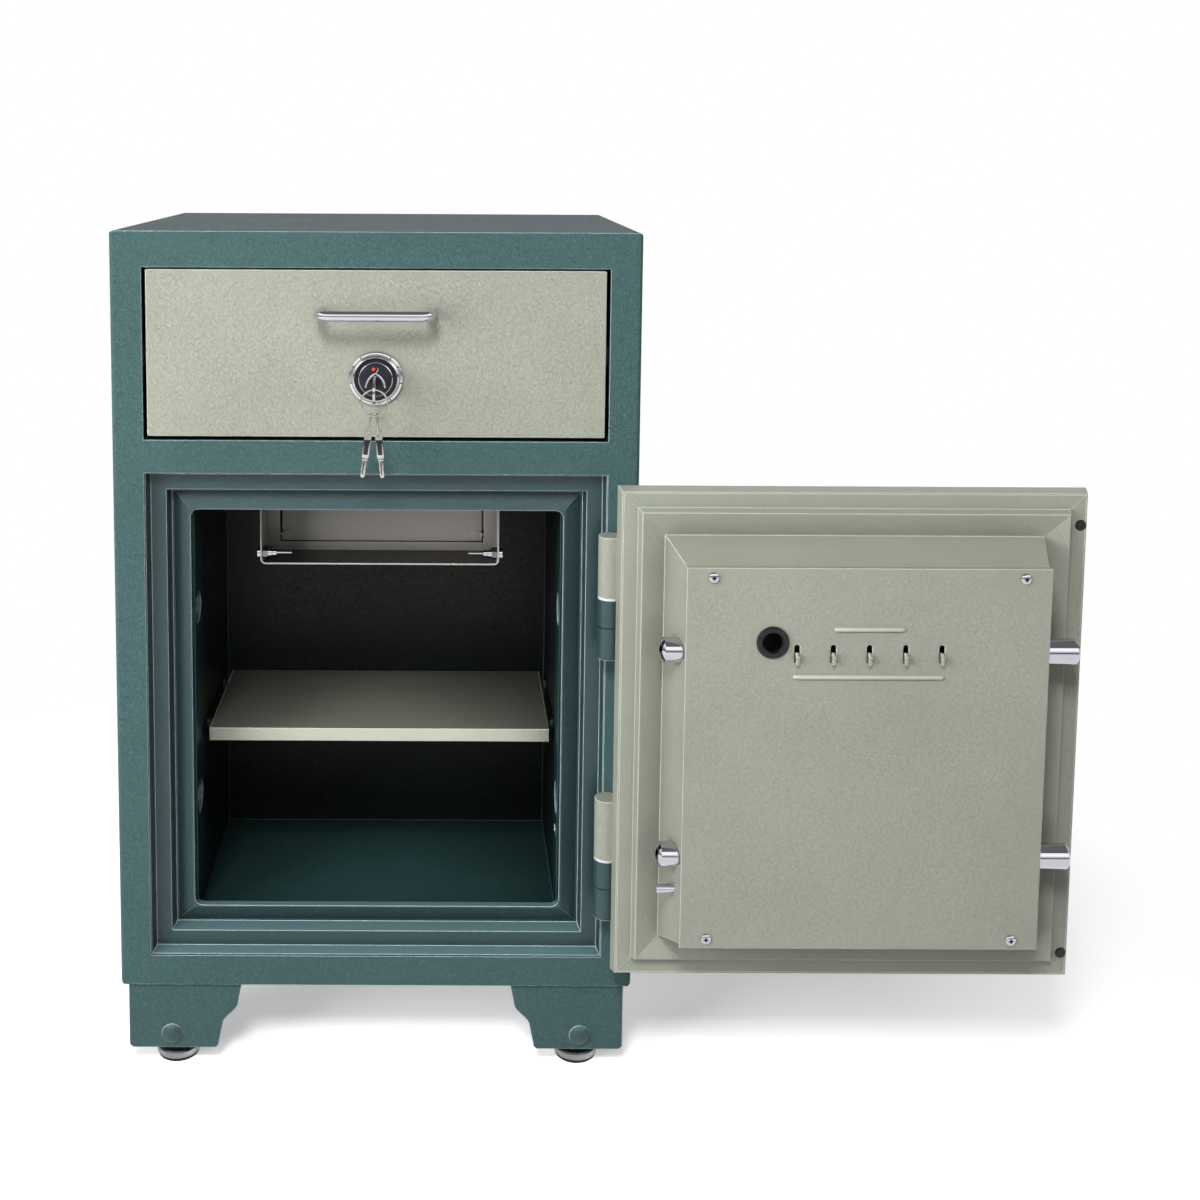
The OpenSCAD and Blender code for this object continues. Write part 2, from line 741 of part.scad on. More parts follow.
// Solid of the inner profile grown inwards by t
module pan_form(t) {
    base = front + slab_t - t;
    taper_block(door_box(border_w + t), base, door_box(crest_in + t), front + slab_t + ridge_h - t);
}

module door_pan() color(sage) door_pose() {
    difference() {
        union() {
            taper_block(door_box(skin + fit_gap + taper_at(slab_t - pan_t)), front + slab_t - pan_t,
                door_box(skin + fit_gap + slab_taper), front + slab_t);
            difference() {
                pan_form(0);
                // Valley that falls from the ridge to the plug's foot
                difference() {
                    taper_block(door_box(crest_in + 1), front + slab_t + ridge_h + 0.01,
                        door_box(plug_inset), front + slab_t + 3);
                    taper_block(door_box(plug_inset), front + slab_t, plug_box(0), front + plug_y);
                }
            }
            taper_block(door_box(plug_inset), front + slab_t, plug_box(0), front + plug_y);
        }
        // Hollow of the plug
        taper_block(door_box(plug_inset + pan_t + 1), front + slab_t - pan_t - cut,
            plug_box(pan_t), front + plug_y - pan_t);
        slab_block(plug_box(plug_rim), front + plug_y - 2 * pan_t, front + plug_y + cut);
        for (z = [bolt_z_top, bolt_z_low])
            rod_x(front + bolt_y, z, door_x0 + plug_inset - 5, door_x0 + plug_top_in + 20, bush_r + fit_gap);
        for (z = [bolt_z_top, bolt_z_low])
            rod_x(front + bolt_y, z, door_x1 - plug_top_in - 20, door_x1 - plug_inset + 5, bolt_d / 2 + fit_gap);
        rod_x(front + bolt_y, pin_z, door_x1 - plug_top_in - 20, door_x1 - plug_inset + 5, locating_r + fit_gap);
        cover_screw_rods(screw_r + 0.1);
    }
}

locating_r = 4;
plug_rim = 14;
screw_r = 2;
cover_in = plug_top_in - 1;

module cover_screw_rods(r) {
    for (x = screw_x, z = screw_z)
        rod_y(x, z, front + plug_y - 12, front + cover_y, r);
}

screw_x = [door_x0 + cover_in + 24, door_x1 - cover_in - 24];
screw_z = [plug_box(-1)[0][1] + 9, plug_box(-1)[1][1] - 9];

module door_fill() color(fill_grey) door_pose() {
    difference() {
        taper_block(door_box(skin + fit_gap + taper_at(skin)), front + skin,
            door_box(skin + fit_gap + taper_at(slab_t - pan_t)), front + slab_t - pan_t);
        rod_y(spindle_x, spindle_z, front, front + slab_t, spindle_r + 1);
        rod_y(dial_x, dial_z, front, front + slab_t, 12 + fit_gap);
    }
}

// Cover lid with its slots, bent tabs and pressed beads
slot_w = 5;
slot_h = 18;
slot_pitch = 32.5;
slot_mid_x = door_x1 - cover_in - 165;
slot_z = door_z1 - cover_in - 83;
grommet_x = slot_mid_x + 87;
grommet_z = slot_z + 11;
grommet_r = 14.5;

module bead(x, z, l) {
    intersection() {
        union() {
            rod_x(front + cover_y - 0.5, z, x - l / 2, x + l / 2, 2.4);
            for (e = [-1, 1]) translate([x + e * l / 2, front + cover_y - 0.5, z]) sphere(2.4);
        }
        translate([x - l, front + cover_y - cover_t / 2, z - 5]) cube([2 * l, 5, 10]);
    }
}

module cover_plate() color(sage) door_pose() {
    difference() {
        union() {
            slab_block(plug_box(-1), front + plug_y, front + cover_y);
            bead(slot_mid_x, slot_z + 23, 57);
            bead(slot_mid_x, slot_z - 21, 129);
        }
        slab_block(plug_box(cover_t - 1), front + plug_y - cut, front + cover_y - cover_t);
        for (i = [-2:2]) translate([slot_mid_x + i * slot_pitch, front + cover_y + cut, slot_z])
            rotate([90, 0, 0]) linear_extrude(cover_t + 2 * cut) round_rect(slot_w, slot_h, slot_w / 2 - 0.01);
        rod_y(grommet_x, grommet_z, front + plug_y, front + cover_y + cut, grommet_r - 2);
        for (x = screw_x, z = screw_z) rod_y(x, z, front + plug_y, front + cover_y + cut, screw_r + 0.2);
    }
    // Bent tab in each slot, standing out of the lid
    for (i = [-2:2]) translate([slot_mid_x + i * slot_pitch - 1.4, front + cover_y - cover_t, slot_z - slot_h / 2 + 0.5])
        difference() {
            cube([2.8, cover_t + 4.5, 10]);
            translate([-cut, cover_t + 1.5, 8]) cube([5, 5, 5]);
        }
    // Folded feet inside the lid that the screws pull down on
    for (x = screw_x, z = screw_z) difference() {
        rod_y(x, z, front + plug_y, front + cover_y - cover_t, 6);
        rod_y(x, z, front + plug_y - cut, front + cover_y, screw_r + 0.2);
    }
}

module cover_screws() color(steel) door_pose() {
    for (x = screw_x, z = screw_z) {
        difference() {
            translate([x, front + cover_y, z]) rotate([-90, 0, 0]) dome(5, 2.6);
            translate([x - 2.6, front + cover_y + 1.2, z - 0.5]) cube([5.2, 3, 1]);
            translate([x - 0.5, front + cover_y + 1.2, z - 2.6]) cube([1, 3, 5.2]);
        }
        rod_y(x, z, front + plug_y - 8, front + cover_y + 0.2, screw_r);
    }
}

module grommet() color(black) door_pose() {
    translate([grommet_x, front + cover_y, grommet_z]) rotate([-90, 0, 0]) rotate_extrude() polygon([
        [8.6, -cover_t - 3], [grommet_r - 2.1, -cover_t - 3], [grommet_r - 2.1, 0], [grommet_r, 0],
        [grommet_r, 1.4], [grommet_r - 1.5, 2.6], [10, 2.6], [8.6, 1]
    ]);
}

fixed_tip = vault_w / 2 + fixed_reach;

// A bolt along X with a domed tip at x
module domed_bolt(x, back, z, r, dome_h) {
    rod_x(front + bolt_y, z, back, x - dome_h, r);
    translate([x - dome_h, front + bolt_y, z]) rotate([0, 90, 0]) dome(r, dome_h);
}

module fixed_bolts() color(steel) door_pose() {
    for (z = [bolt_z_top, bolt_z_low])
        domed_bolt(fixed_tip, door_x1 - plug_top_in - 8, z, bolt_d / 2, fixed_dome);
}

module locating_pin() color(steel) door_pose() {
    rod_x(front + bolt_y, pin_z, door_x1 - plug_top_in - 8, vault_w / 2 + pin_reach, locating_r);
}

bumper_r = 5.2;
bumper_x = door_x0 + slab_taper + bumper_r + 0.2;

module bumpers() color(black) door_pose() {
    for (z = [door_z0 + 25, door_z1 - 33])
        translate([bumper_x, front + slab_t, z]) rotate([-90, 0, 0])
            cylinder(h = 1.2, r1 = bumper_r, r2 = bumper_r - 1.2);
}

module bolt_bushes() color(steel) door_pose() {
    for (z = [bolt_z_top, bolt_z_low]) difference() {
        rod_x(front + bolt_y, z, door_x0 + plug_top_in - 9, door_x0 + plug_top_in + 10, bush_r);
        rod_x(front + bolt_y, z, door_x0 + plug_top_in - 10, door_x0 + plug_top_in + 11, bolt_d / 2 + fit_gap);
        taper_block([[door_x0 - 60, z - 50], [door_x0 + plug_inset, z + 50]], front + slab_t,
            [[door_x0 - 60, z - 50], [door_x0 + plug_top_in, z + 50]], front + plug_y);
    }
}

// Boltwork, handle and lock inside the plug

bolt_tip = -vault_w / 2 - bolt_reach;
bolt_back = door_x0 + plug_top_in + 26;
bar_t = 6;
bar_w = 26;
crank_r = 17;
bar_x = bolt_back;
bar_y = bolt_y + bolt_d / 2 - bar_t - 6;

module locking_bolts() color(steel) door_pose() {
    for (z = [bolt_z_top, bolt_z_low]) translate([bolt_tip, front + bolt_y, z]) rotate([0, 90, 0])
        rotate_extrude() polygon([
            [0, 0], [bolt_d / 2 - 2, 0], [bolt_d / 2, 2], [bolt_d / 2, bolt_back - bolt_tip], [0, bolt_back - bolt_tip]
        ]);
}

// Crank pin's place at rest, half of the turn before the middle
crank_rest = 45;
crank_dx = -crank_r * sin(crank_rest);
crank_dz = -crank_r * cos(crank_rest);

module bolt_bar() color(steel) door_pose() {
    pin_x = spindle_x + crank_dx;
    difference() {
        union() {
            translate([bar_x, front + bolt_y - bar_t / 2, bolt_z_low - 12])
                cube([bar_w, bar_t, bolt_z_top - bolt_z_low + 24]);
            translate([bar_x, front + bolt_y - bar_t / 2, spindle_z - 30])
                cube([pin_x + 9 - bar_x, bar_t, 34]);
        }
        translate([pin_x - 4.8, front + bolt_y - bar_t, spindle_z - 25]) cube([9.6, 2 * bar_t, 19]);
    }
}

module handle_crank() color(steel) door_pose() {
    y0 = front + bolt_y - bar_t / 2 - 0.5;
    rod_y(spindle_x, spindle_z, front - 12, y0, spindle_r);
    arm_y0 = y0 - 5;
    translate([spindle_x, y0, spindle_z]) rotate([90, 0, 0]) difference() {
        linear_extrude(5) hull() {
            circle(9, $fn = 32);
            translate([crank_dx, crank_dz]) circle(6, $fn = 32);
        }
        translate([0, 0, -cut]) cylinder(h = 7, r = spindle_r - 0.2);
    }
    rod_y(spindle_x + crank_dx, spindle_z + crank_dz, y0 - 1, y0 + bar_t + 1.5, 4);
}

module door_rosette() color(steel) door_pose() {
    translate([spindle_x, front, spindle_z]) rotate([90, 0, 0]) difference() {
        rotate_extrude() polygon([[0, 0], [26, 0], [26, 3], [22, 6], [12, 7], [0, 7]]);
        translate([0, 0, -cut]) cylinder(h = 9, r = spindle_r + fit_gap);
    }
}

lever_l = 105;
lever_r = 8;
hub_h = 34;
hub_r = 11;

module door_handle() color(steel) door_pose() {
    y0 = front - 7.5;
    translate([spindle_x, y0, spindle_z]) rotate([90, 0, 0]) difference() {
        cylinder(h = hub_h, r = hub_r);
        translate([0, 0, -cut]) cylinder(h = 5.5 + cut, r = spindle_r + 0.02);
    }
    translate([spindle_x, y0 - hub_h + lever_r, spindle_z]) rotate([0, 90, 0]) cylinder(h = lever_l, r = lever_r);
    translate([spindle_x + lever_l, y0 - hub_h + lever_r, spindle_z]) sphere(lever_r);
}

// Dial ring outside the door, its tube and the lock box inside the plug
module door_lock_case() color(steel) door_pose() {
    difference() {
        union() {
            rod_y(dial_x, dial_z, front - 4, front, 32);
            rod_y(dial_x, dial_z, front - 1, front + slab_t, 12);
            translate([dial_x - 32, front + slab_t - pan_t, dial_z - 35]) cube([64, 26, 70]);
        }
        rod_y(dial_x, dial_z, front - 5, front + slab_t + 14, dial_r + fit_gap);
    }
}

module combo_dial() color(black) door_pose() {
    translate([dial_x, front - 4.3, dial_z]) rotate([90, 0, 0])
        rotate_extrude() polygon([[0, 0], [27, 0], [27, 4], [21, 6], [20, 19], [17, 21], [0, 21]]);
    rod_y(dial_x, dial_z, front - 5, front + slab_t + 12, dial_r);
}

// Deposit drawer

bay_mid_z = drawer_open_z + drawer_open_h / 2;
front_w = door_open_w - 2 * drawer_gap;
front_h = drawer_open_h - 1.5 * drawer_gap;
front_z0 = drawer_open_z + drawer_gap;
box_side = 26;
box_half = door_open_w / 2 - box_side;
box_t = 1.5;
box_z0 = drawer_open_z + 3;
box_z1 = drawer_open_z + drawer_open_h - 16;
rail_z = drawer_open_z + 70;
rail_h = 16;
lock_r = 11;
lock_space = 46;
cam_l = 68;
cam_w = 12;
cam_t = 2.7;
cam_y = front + drawer_front_t + 20.3;
cam_angle = 30;
keeper = [[-14, cam_y - 4, drawer_open_z - liner_t - 12], [50, cam_y + cam_t + 4, drawer_open_z]];

module drawer_front() color(sage) {
    difference() {
        upright(front, front + drawer_front_t)
            translate([0, front_z0 + front_h / 2]) round_rect(front_w, front_h, 1.5);
        rod_y(0, lock_z, front - cut, front + drawer_front_t + cut, lock_r + 0.1);
        for (s = [-1, 1]) rod_y(s * handle_w / 2, handle_z, front - cut, front + drawer_front_t + cut, 2.6);
    }
}

module drawer_box() color(grey) {
    y0 = front + lock_space;
    y1 = front + drawer_depth;
    w = box_half - box_t;
    for (s = [-1, 1]) translate([s > 0 ? w : -box_half, front + drawer_front_t, box_z0])
        cube([box_t, drawer_depth - drawer_front_t, box_z1 - box_z0]);
    translate([-box_half, y0 - box_t, box_z0]) cube([2 * box_half, box_t, box_z1 - box_z0]);
    translate([-box_half, y1 - box_t, box_z0]) cube([2 * box_half, box_t, box_z1 - box_z0]);
    // Floor that slopes down towards the open well
    well_y = front + shaft_y0;
    floor_rise = 30;
    difference() {
        union() {
            rotate([90, 0, 90]) translate([0, 0, -w]) linear_extrude(2 * w) polygon([
                [y0, box_z0 + floor_rise], [well_y, box_z0], [well_y, box_z0 + box_t],
                [y0, box_z0 + floor_rise + box_t]
            ]);
            translate([-w, well_y, box_z0]) cube([2 * w, y1 - well_y, box_t]);
        }
        translate([-well_w / 2, well_y, box_z0 - cut]) cube([well_w, well_l, box_t + 2 * cut]);
    }
}

module drawer_runners() color(steel) {
    for (s = [-1, 1]) translate([s > 0 ? box_half : -box_half - 11, front + 22, rail_z])
        cube([11, drawer_depth - 26, rail_h]);
}

module slide_rails() color(steel) {
    x0 = box_half + 4;
    web = box_half + 11 + slide_gap;
    wall = door_open_w / 2;
    for (s = [-1, 1]) mirror([s > 0 ? 0 : 1, 0, 0]) {
        translate([web, front + 22, rail_z - 2.3]) cube([2, drawer_depth - 26, rail_h + 4.6]);
        translate([x0, front + 22, rail_z + rail_h + slide_gap]) cube([web - x0, drawer_depth - 26, 2]);
        translate([x0, front + 22, rail_z - slide_gap - 2]) cube([web - x0, drawer_depth - 26, 2]);
        for (y = [front + 30, front + drawer_depth - 36])
            translate([web + 2, y, rail_z - 2.3]) cube([wall - web - 2, 16, rail_h + 4.6]);
    }
}

handle_out = 30;
bend_r = 11;

module drawer_handle() color(steel) {
    half = handle_w / 2;
    for (s = [-1, 1]) mirror([s > 0 ? 0 : 1, 0, 0]) {
        rod_y(half, handle_z, front - handle_out + bend_r, front, handle_r);
        translate([half - bend_r, front - handle_out + bend_r, handle_z]) rotate([0, 0, -90])
            rotate_extrude(angle = 90) translate([bend_r, 0]) circle(handle_r);
    }
    rod_x(front - handle_out, handle_z, -half + bend_r, half - bend_r, handle_r);
}

module handle_screws() color(steel) {
    for (s = [-1, 1]) {
        rod_y(s * handle_w / 2, handle_z, front, front + drawer_front_t + 1, 2.5);
        translate([s * handle_w / 2, front + drawer_front_t, handle_z]) rotate([-90, 0, 0]) dome(4.5, 2.5);
    }
}

// Cam lock of the drawer

module lock_rosette() color(steel) {
    translate([0, front, lock_z]) rotate([90, 0, 0]) rotate_extrude() polygon([
        [lock_r + 0.1, 0], [26, 0], [26, 1.5], [25, 3], [22.5, 3.6], [21, 3], [19.5, 5], [17, 7.5], [lock_r + 0.1, 7.5]
    ]);
}

module lock_bezel() color(black) {
    translate([0, front - 7.5, lock_z]) rotate([90, 0, 0]) rotate_extrude() polygon([
        [8.2, 0], [15.5, 0], [15.5, 1.6], [14, 3], [9, 3], [8.2, 2.2]
    ]);
}

module lock_case() color(steel) {
    difference() {
        union() {
            rod_y(0, lock_z, front - 7.5, cam_y - 0.3, lock_r);
            translate([0, front + drawer_front_t + 7, lock_z]) rotate([90, 0, 0]) cylinder(h = 7, r = 16, $fn = 6);
        }
        rod_y(0, lock_z, front - 12, front + drawer_front_t + 22, 8 + fit_gap);
    }
}

key_t = 2.4;

module lock_plug() color(steel) {
    difference() {
        rod_y(0, lock_z, front - 9.5, cam_y, 8);
        rod_y(0, lock_z, cam_y - 9, cam_y + cut, 3.1);
        translate([-key_t / 2 - 0.1, front - 12, lock_z - 4.6]) cube([key_t + 0.2, 32, 9.2]);
    }
}

module lock_cam() color(steel) {
    translate([0, cam_y, lock_z]) rotate([0, cam_angle, 0]) difference() {
        union() {
            translate([0, 0, -cam_w / 2]) cube([cam_l, cam_t, cam_w]);
            rod_y(0, 0, 0, cam_t, 10);
        }
        rod_y(0, 0, -cut, cam_t + cut, 3.1);
    }
}

module cam_screw() color(steel) {
    rod_y(0, lock_z, cam_y - 8, cam_y + cam_t, 3);
    translate([0, cam_y + cam_t, lock_z]) rotate([90, 0, 0]) rotate([180, 0, 0]) cylinder(h = 3, r = 5.5, $fn = 6);
}

// Slotted strike in the bay's floor that the turned cam drops into
module lock_keeper() color(steel) {
    difference() {
        translate(keeper[0]) cube(keeper[1] - keeper[0]);
        translate([-8, cam_y - 1, keeper[0][2] + 2]) cube([52, cam_t + 2, 20]);
    }
}

module keeper_room(z0, z1) {
    translate([keeper[0][0], keeper[0][1], z0])
        cube([keeper[1][0] - keeper[0][0], keeper[1][1] - keeper[0][1], z1 - z0]);
}

// A key lies in the Y-Z plane with its bow towards the viewer
bow_r = 11.5;
bow_out = 20;
hole_r = 3;
ring_R = 12.2;
ring_r = 0.9;
bow_y = front - 10 - bow_out;
bow_z = lock_z - 8;
ring_y = bow_y - 4;
ring_hole_z = bow_z + 4.5;
bar_r = 1.3;
rim_z = ring_hole_z - hole_r - key_t / 2;
ring_top_z = rim_z + bar_r + ring_r + 0.08;
ring_z = ring_top_z - ring_R;

module lock_key() color(steel) {
    // Round bar across the hole's foot that the ring rests on
    rod_y(0, rim_z, ring_y - hole_r, ring_y + hole_r, bar_r);
    difference() {
        union() {
            rod_x(bow_y, bow_z, -key_t / 2, key_t / 2, bow_r);
            translate([-key_t / 2, bow_y, lock_z - 4.5]) cube([key_t, front - bow_y - 9, 9]);
            translate([-key_t / 2, front - 14, lock_z - 4]) cube([key_t, 30, 7.5]);
        }
        rod_x(ring_y, ring_hole_z, -key_t, key_t, hole_r + key_t / 2);
    }
}

module key_ring() color(steel) {
    translate([0, ring_y, ring_z]) rotate([90, 0, 0])
        rotate_extrude() translate([ring_R, 0]) circle(ring_r, $fn = 24);
}

// A spare key hanging from the ring at angle a from the ring's lowest point, tilted by lean
link_r = 0.7;
link_R = 2.6;
link_l = 14;
head_w = 6.6;
head_h = 26;
blade_w = 4.2;
blade_h = 18;

module spare_key(a, lean) {
    drop = link_R - link_r - ring_r - 0.12;
    translate([ring_R * sin(a), ring_y, ring_z - ring_R * cos(a)]) rotate([0, lean, 0]) translate([0, 0, -drop]) {
        link();
        translate([0, 0, -link_l - link_R + 1.2]) blade();
    }
}

// Oval link in the Y-Z plane: an arc above and below two straight sides
module link() {
    rotate([90, 0, 90]) rotate_extrude(angle = 180) translate([link_R, 0]) circle(link_r, $fn = 24);
    translate([0, 0, -link_l]) rotate([-90, 0, 90]) rotate_extrude(angle = 180) translate([link_R, 0])
        circle(link_r, $fn = 24);
    for (y = [-link_R, link_R]) translate([0, y, -link_l]) cylinder(h = link_l, r = link_r, $fn = 24);
}

// Flat key facing the viewer, its hole's upper edge at the origin
module blade() {
    rim = 2;
    eye_r = 1.8;
    difference() {
        union() {
            translate([-head_w / 2, -key_t / 2, rim - head_h]) cube([head_w, key_t, head_h]);
            translate([-blade_w / 2, -key_t / 2, rim - head_h - blade_h]) cube([blade_w, key_t, blade_h + cut]);
        }
        rod_y(0, -eye_r, -key_t, key_t, eye_r);
    }
}

module spare_keys() color(steel) {
    spare_key(-14, 8);
    spare_key(12, -5);
}

body_shell();
fire_fill();
door_frame();
vault_liner();
bolt_sockets();
drawer_bay();
drop_throat();
shelf();
shelf_pegs();
chute_shell();
chute_frame();
chute_flap();
flap_pins();
chute_studs();
chute_nuts();
chute_spacers();
slide_rails();
leg_front_left();
leg_front_right();
leg_rear_left();
leg_rear_right();
leg_bolts();
levelling_feet();
foot_pads();
hinge_barrels();
hinge_pins();
hinge_washers();
door_skin();
door_fill();
door_pan();
cover_plate();
cover_screws();
grommet();
fixed_bolts();
locating_pin();
bumpers();
door_barrels();
bolt_bushes();
door_rosette();
door_lock_case();
locking_bolts();
bolt_bar();
door_handle();
handle_crank();
combo_dial();
drawer_front();
drawer_box();
drawer_runners();
drawer_handle();
handle_screws();
lock_rosette();
lock_bezel();
lock_case();
lock_plug();
lock_cam();
cam_screw();
lock_keeper();
lock_key();
key_ring();
spare_keys();
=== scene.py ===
"""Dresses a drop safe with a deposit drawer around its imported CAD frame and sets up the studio."""

import logging
from dataclasses import dataclass
from enum import Enum
from math import cos, pi, radians, sin
from typing import Any, Iterable, Mapping, Sequence

import bmesh
import bpy
from mathutils import Matrix, Vector

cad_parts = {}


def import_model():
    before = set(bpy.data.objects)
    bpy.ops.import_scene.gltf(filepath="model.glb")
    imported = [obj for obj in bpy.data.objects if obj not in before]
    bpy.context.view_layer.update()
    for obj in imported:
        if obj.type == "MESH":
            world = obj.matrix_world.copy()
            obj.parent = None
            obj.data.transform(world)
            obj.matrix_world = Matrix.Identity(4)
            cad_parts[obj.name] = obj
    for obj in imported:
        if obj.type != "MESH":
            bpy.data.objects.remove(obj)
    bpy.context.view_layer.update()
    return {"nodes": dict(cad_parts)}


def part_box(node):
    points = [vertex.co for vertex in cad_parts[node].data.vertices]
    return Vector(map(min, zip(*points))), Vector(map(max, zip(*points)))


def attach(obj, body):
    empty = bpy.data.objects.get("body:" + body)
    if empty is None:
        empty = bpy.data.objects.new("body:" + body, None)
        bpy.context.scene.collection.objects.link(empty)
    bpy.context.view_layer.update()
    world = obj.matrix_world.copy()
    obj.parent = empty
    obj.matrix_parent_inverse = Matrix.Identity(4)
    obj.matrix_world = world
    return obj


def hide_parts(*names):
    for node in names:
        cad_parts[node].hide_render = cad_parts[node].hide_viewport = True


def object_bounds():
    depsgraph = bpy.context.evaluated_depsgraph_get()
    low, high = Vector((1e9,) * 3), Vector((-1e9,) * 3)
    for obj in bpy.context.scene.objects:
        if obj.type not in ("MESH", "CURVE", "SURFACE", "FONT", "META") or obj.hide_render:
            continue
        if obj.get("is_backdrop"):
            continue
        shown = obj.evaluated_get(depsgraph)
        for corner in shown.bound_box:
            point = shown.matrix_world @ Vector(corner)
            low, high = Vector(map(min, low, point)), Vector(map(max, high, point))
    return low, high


LOG = logging.getLogger("drop_safe")
MM = 0.001
# Faces that meet at less than this many degrees are shaded smooth
SMOOTH_DEGREES = 35.0
# How far a rounded normal agrees with the true one on a flat face, and on a fold
FLAT_FACE = 0.985
FULL_FOLD = 0.86

Point = tuple[float, float, float]
Places = Sequence[tuple[Point, Point]]
Profile = Sequence[tuple[float, float]]
Tree = bpy.types.NodeTree
Node = bpy.types.Node
Socket = bpy.types.NodeSocket
Feed = Node | Socket
Material = bpy.types.Material
Piece = bpy.types.Object
Shape = bmesh.types.BMesh


class Body(Enum):
    """The rigid bodies of the safe that pieces ride on."""

    CABINET = "cabinet"
    DOOR = "door"
    DIAL = "dial"
    DRAWER = "drawer"
    LOCK = "lock"
    RING = "ring"


def srgb(code: str) -> tuple[float, float, float, float]:
    """Turns an sRGB hex colour to the linear values that Blender's sockets take.

    Args:
        code: Six hex digits with a leading hash.

    Returns:
        Linear red, green and blue with alpha 1.
    """
    channels = [int(code[i : i + 2], 16) / 255 for i in (1, 3, 5)]
    red, green, blue = (c / 12.92 if c <= 0.04045 else ((c + 0.055) / 1.055) ** 2.4 for c in channels)
    return red, green, blue, 1.0


def add_node(tree: Tree, kind: str, inputs: Mapping[Any, Any] | None = None, **settings: Any) -> Node:
    """Adds a node, sets its options, and links or fills its sockets.

    Args:
        tree: Node tree that gets the node.
        kind: Blender's type name of the node.
        inputs: Socket name or index to a value, to the socket that feeds it, or to a node whose first does.
        **settings: Options of the node, by attribute name.

    Returns:
        The new node.
    """
    node = tree.nodes.new(kind)
    for name, value in settings.items():
        setattr(node, name, value)
    for key, value in (inputs or {}).items():
        if isinstance(value, Node):
            value = value.outputs[0]
        if isinstance(value, Socket):
            tree.links.new(value, node.inputs[key])
        else:
            node.inputs[key].default_value = value
    return node


def new_material(name: str) -> tuple[Material, Tree, Socket]:
    """Makes an empty node material and returns it with its tree and its object coordinates."""
    material = bpy.data.materials.new(name)
    material.use_nodes = True
    material.node_tree.nodes.clear()
    place = add_node(material.node_tree, "ShaderNodeTexCoord").outputs["Object"]
    return material, material.node_tree, place


def rounded_normal(tree: Tree, radius_mm: float) -> tuple[Feed, Feed]:
    """Rounds sharp edges in the shading and finds where they are.

    Args:
        tree: Material tree.
        radius_mm: Radius of the rounding.

    Returns:
        The rounded normal, and a mask that is 1 on the edges and 0 on flat faces.
    """
    bevel = add_node(tree, "ShaderNodeBevel", {"Radius": radius_mm * MM}, samples=6)
    true = add_node(tree, "ShaderNodeNewGeometry").outputs["Normal"]
    agree = add_node(tree, "ShaderNodeVectorMath", {0: bevel, 1: true}, operation="DOT_PRODUCT")
    span = {"From Min": FLAT_FACE, "From Max": FULL_FOLD}
    mask = add_node(tree, "ShaderNodeMapRange", {"Value": agree.outputs["Value"], **span})
    return bevel, mask


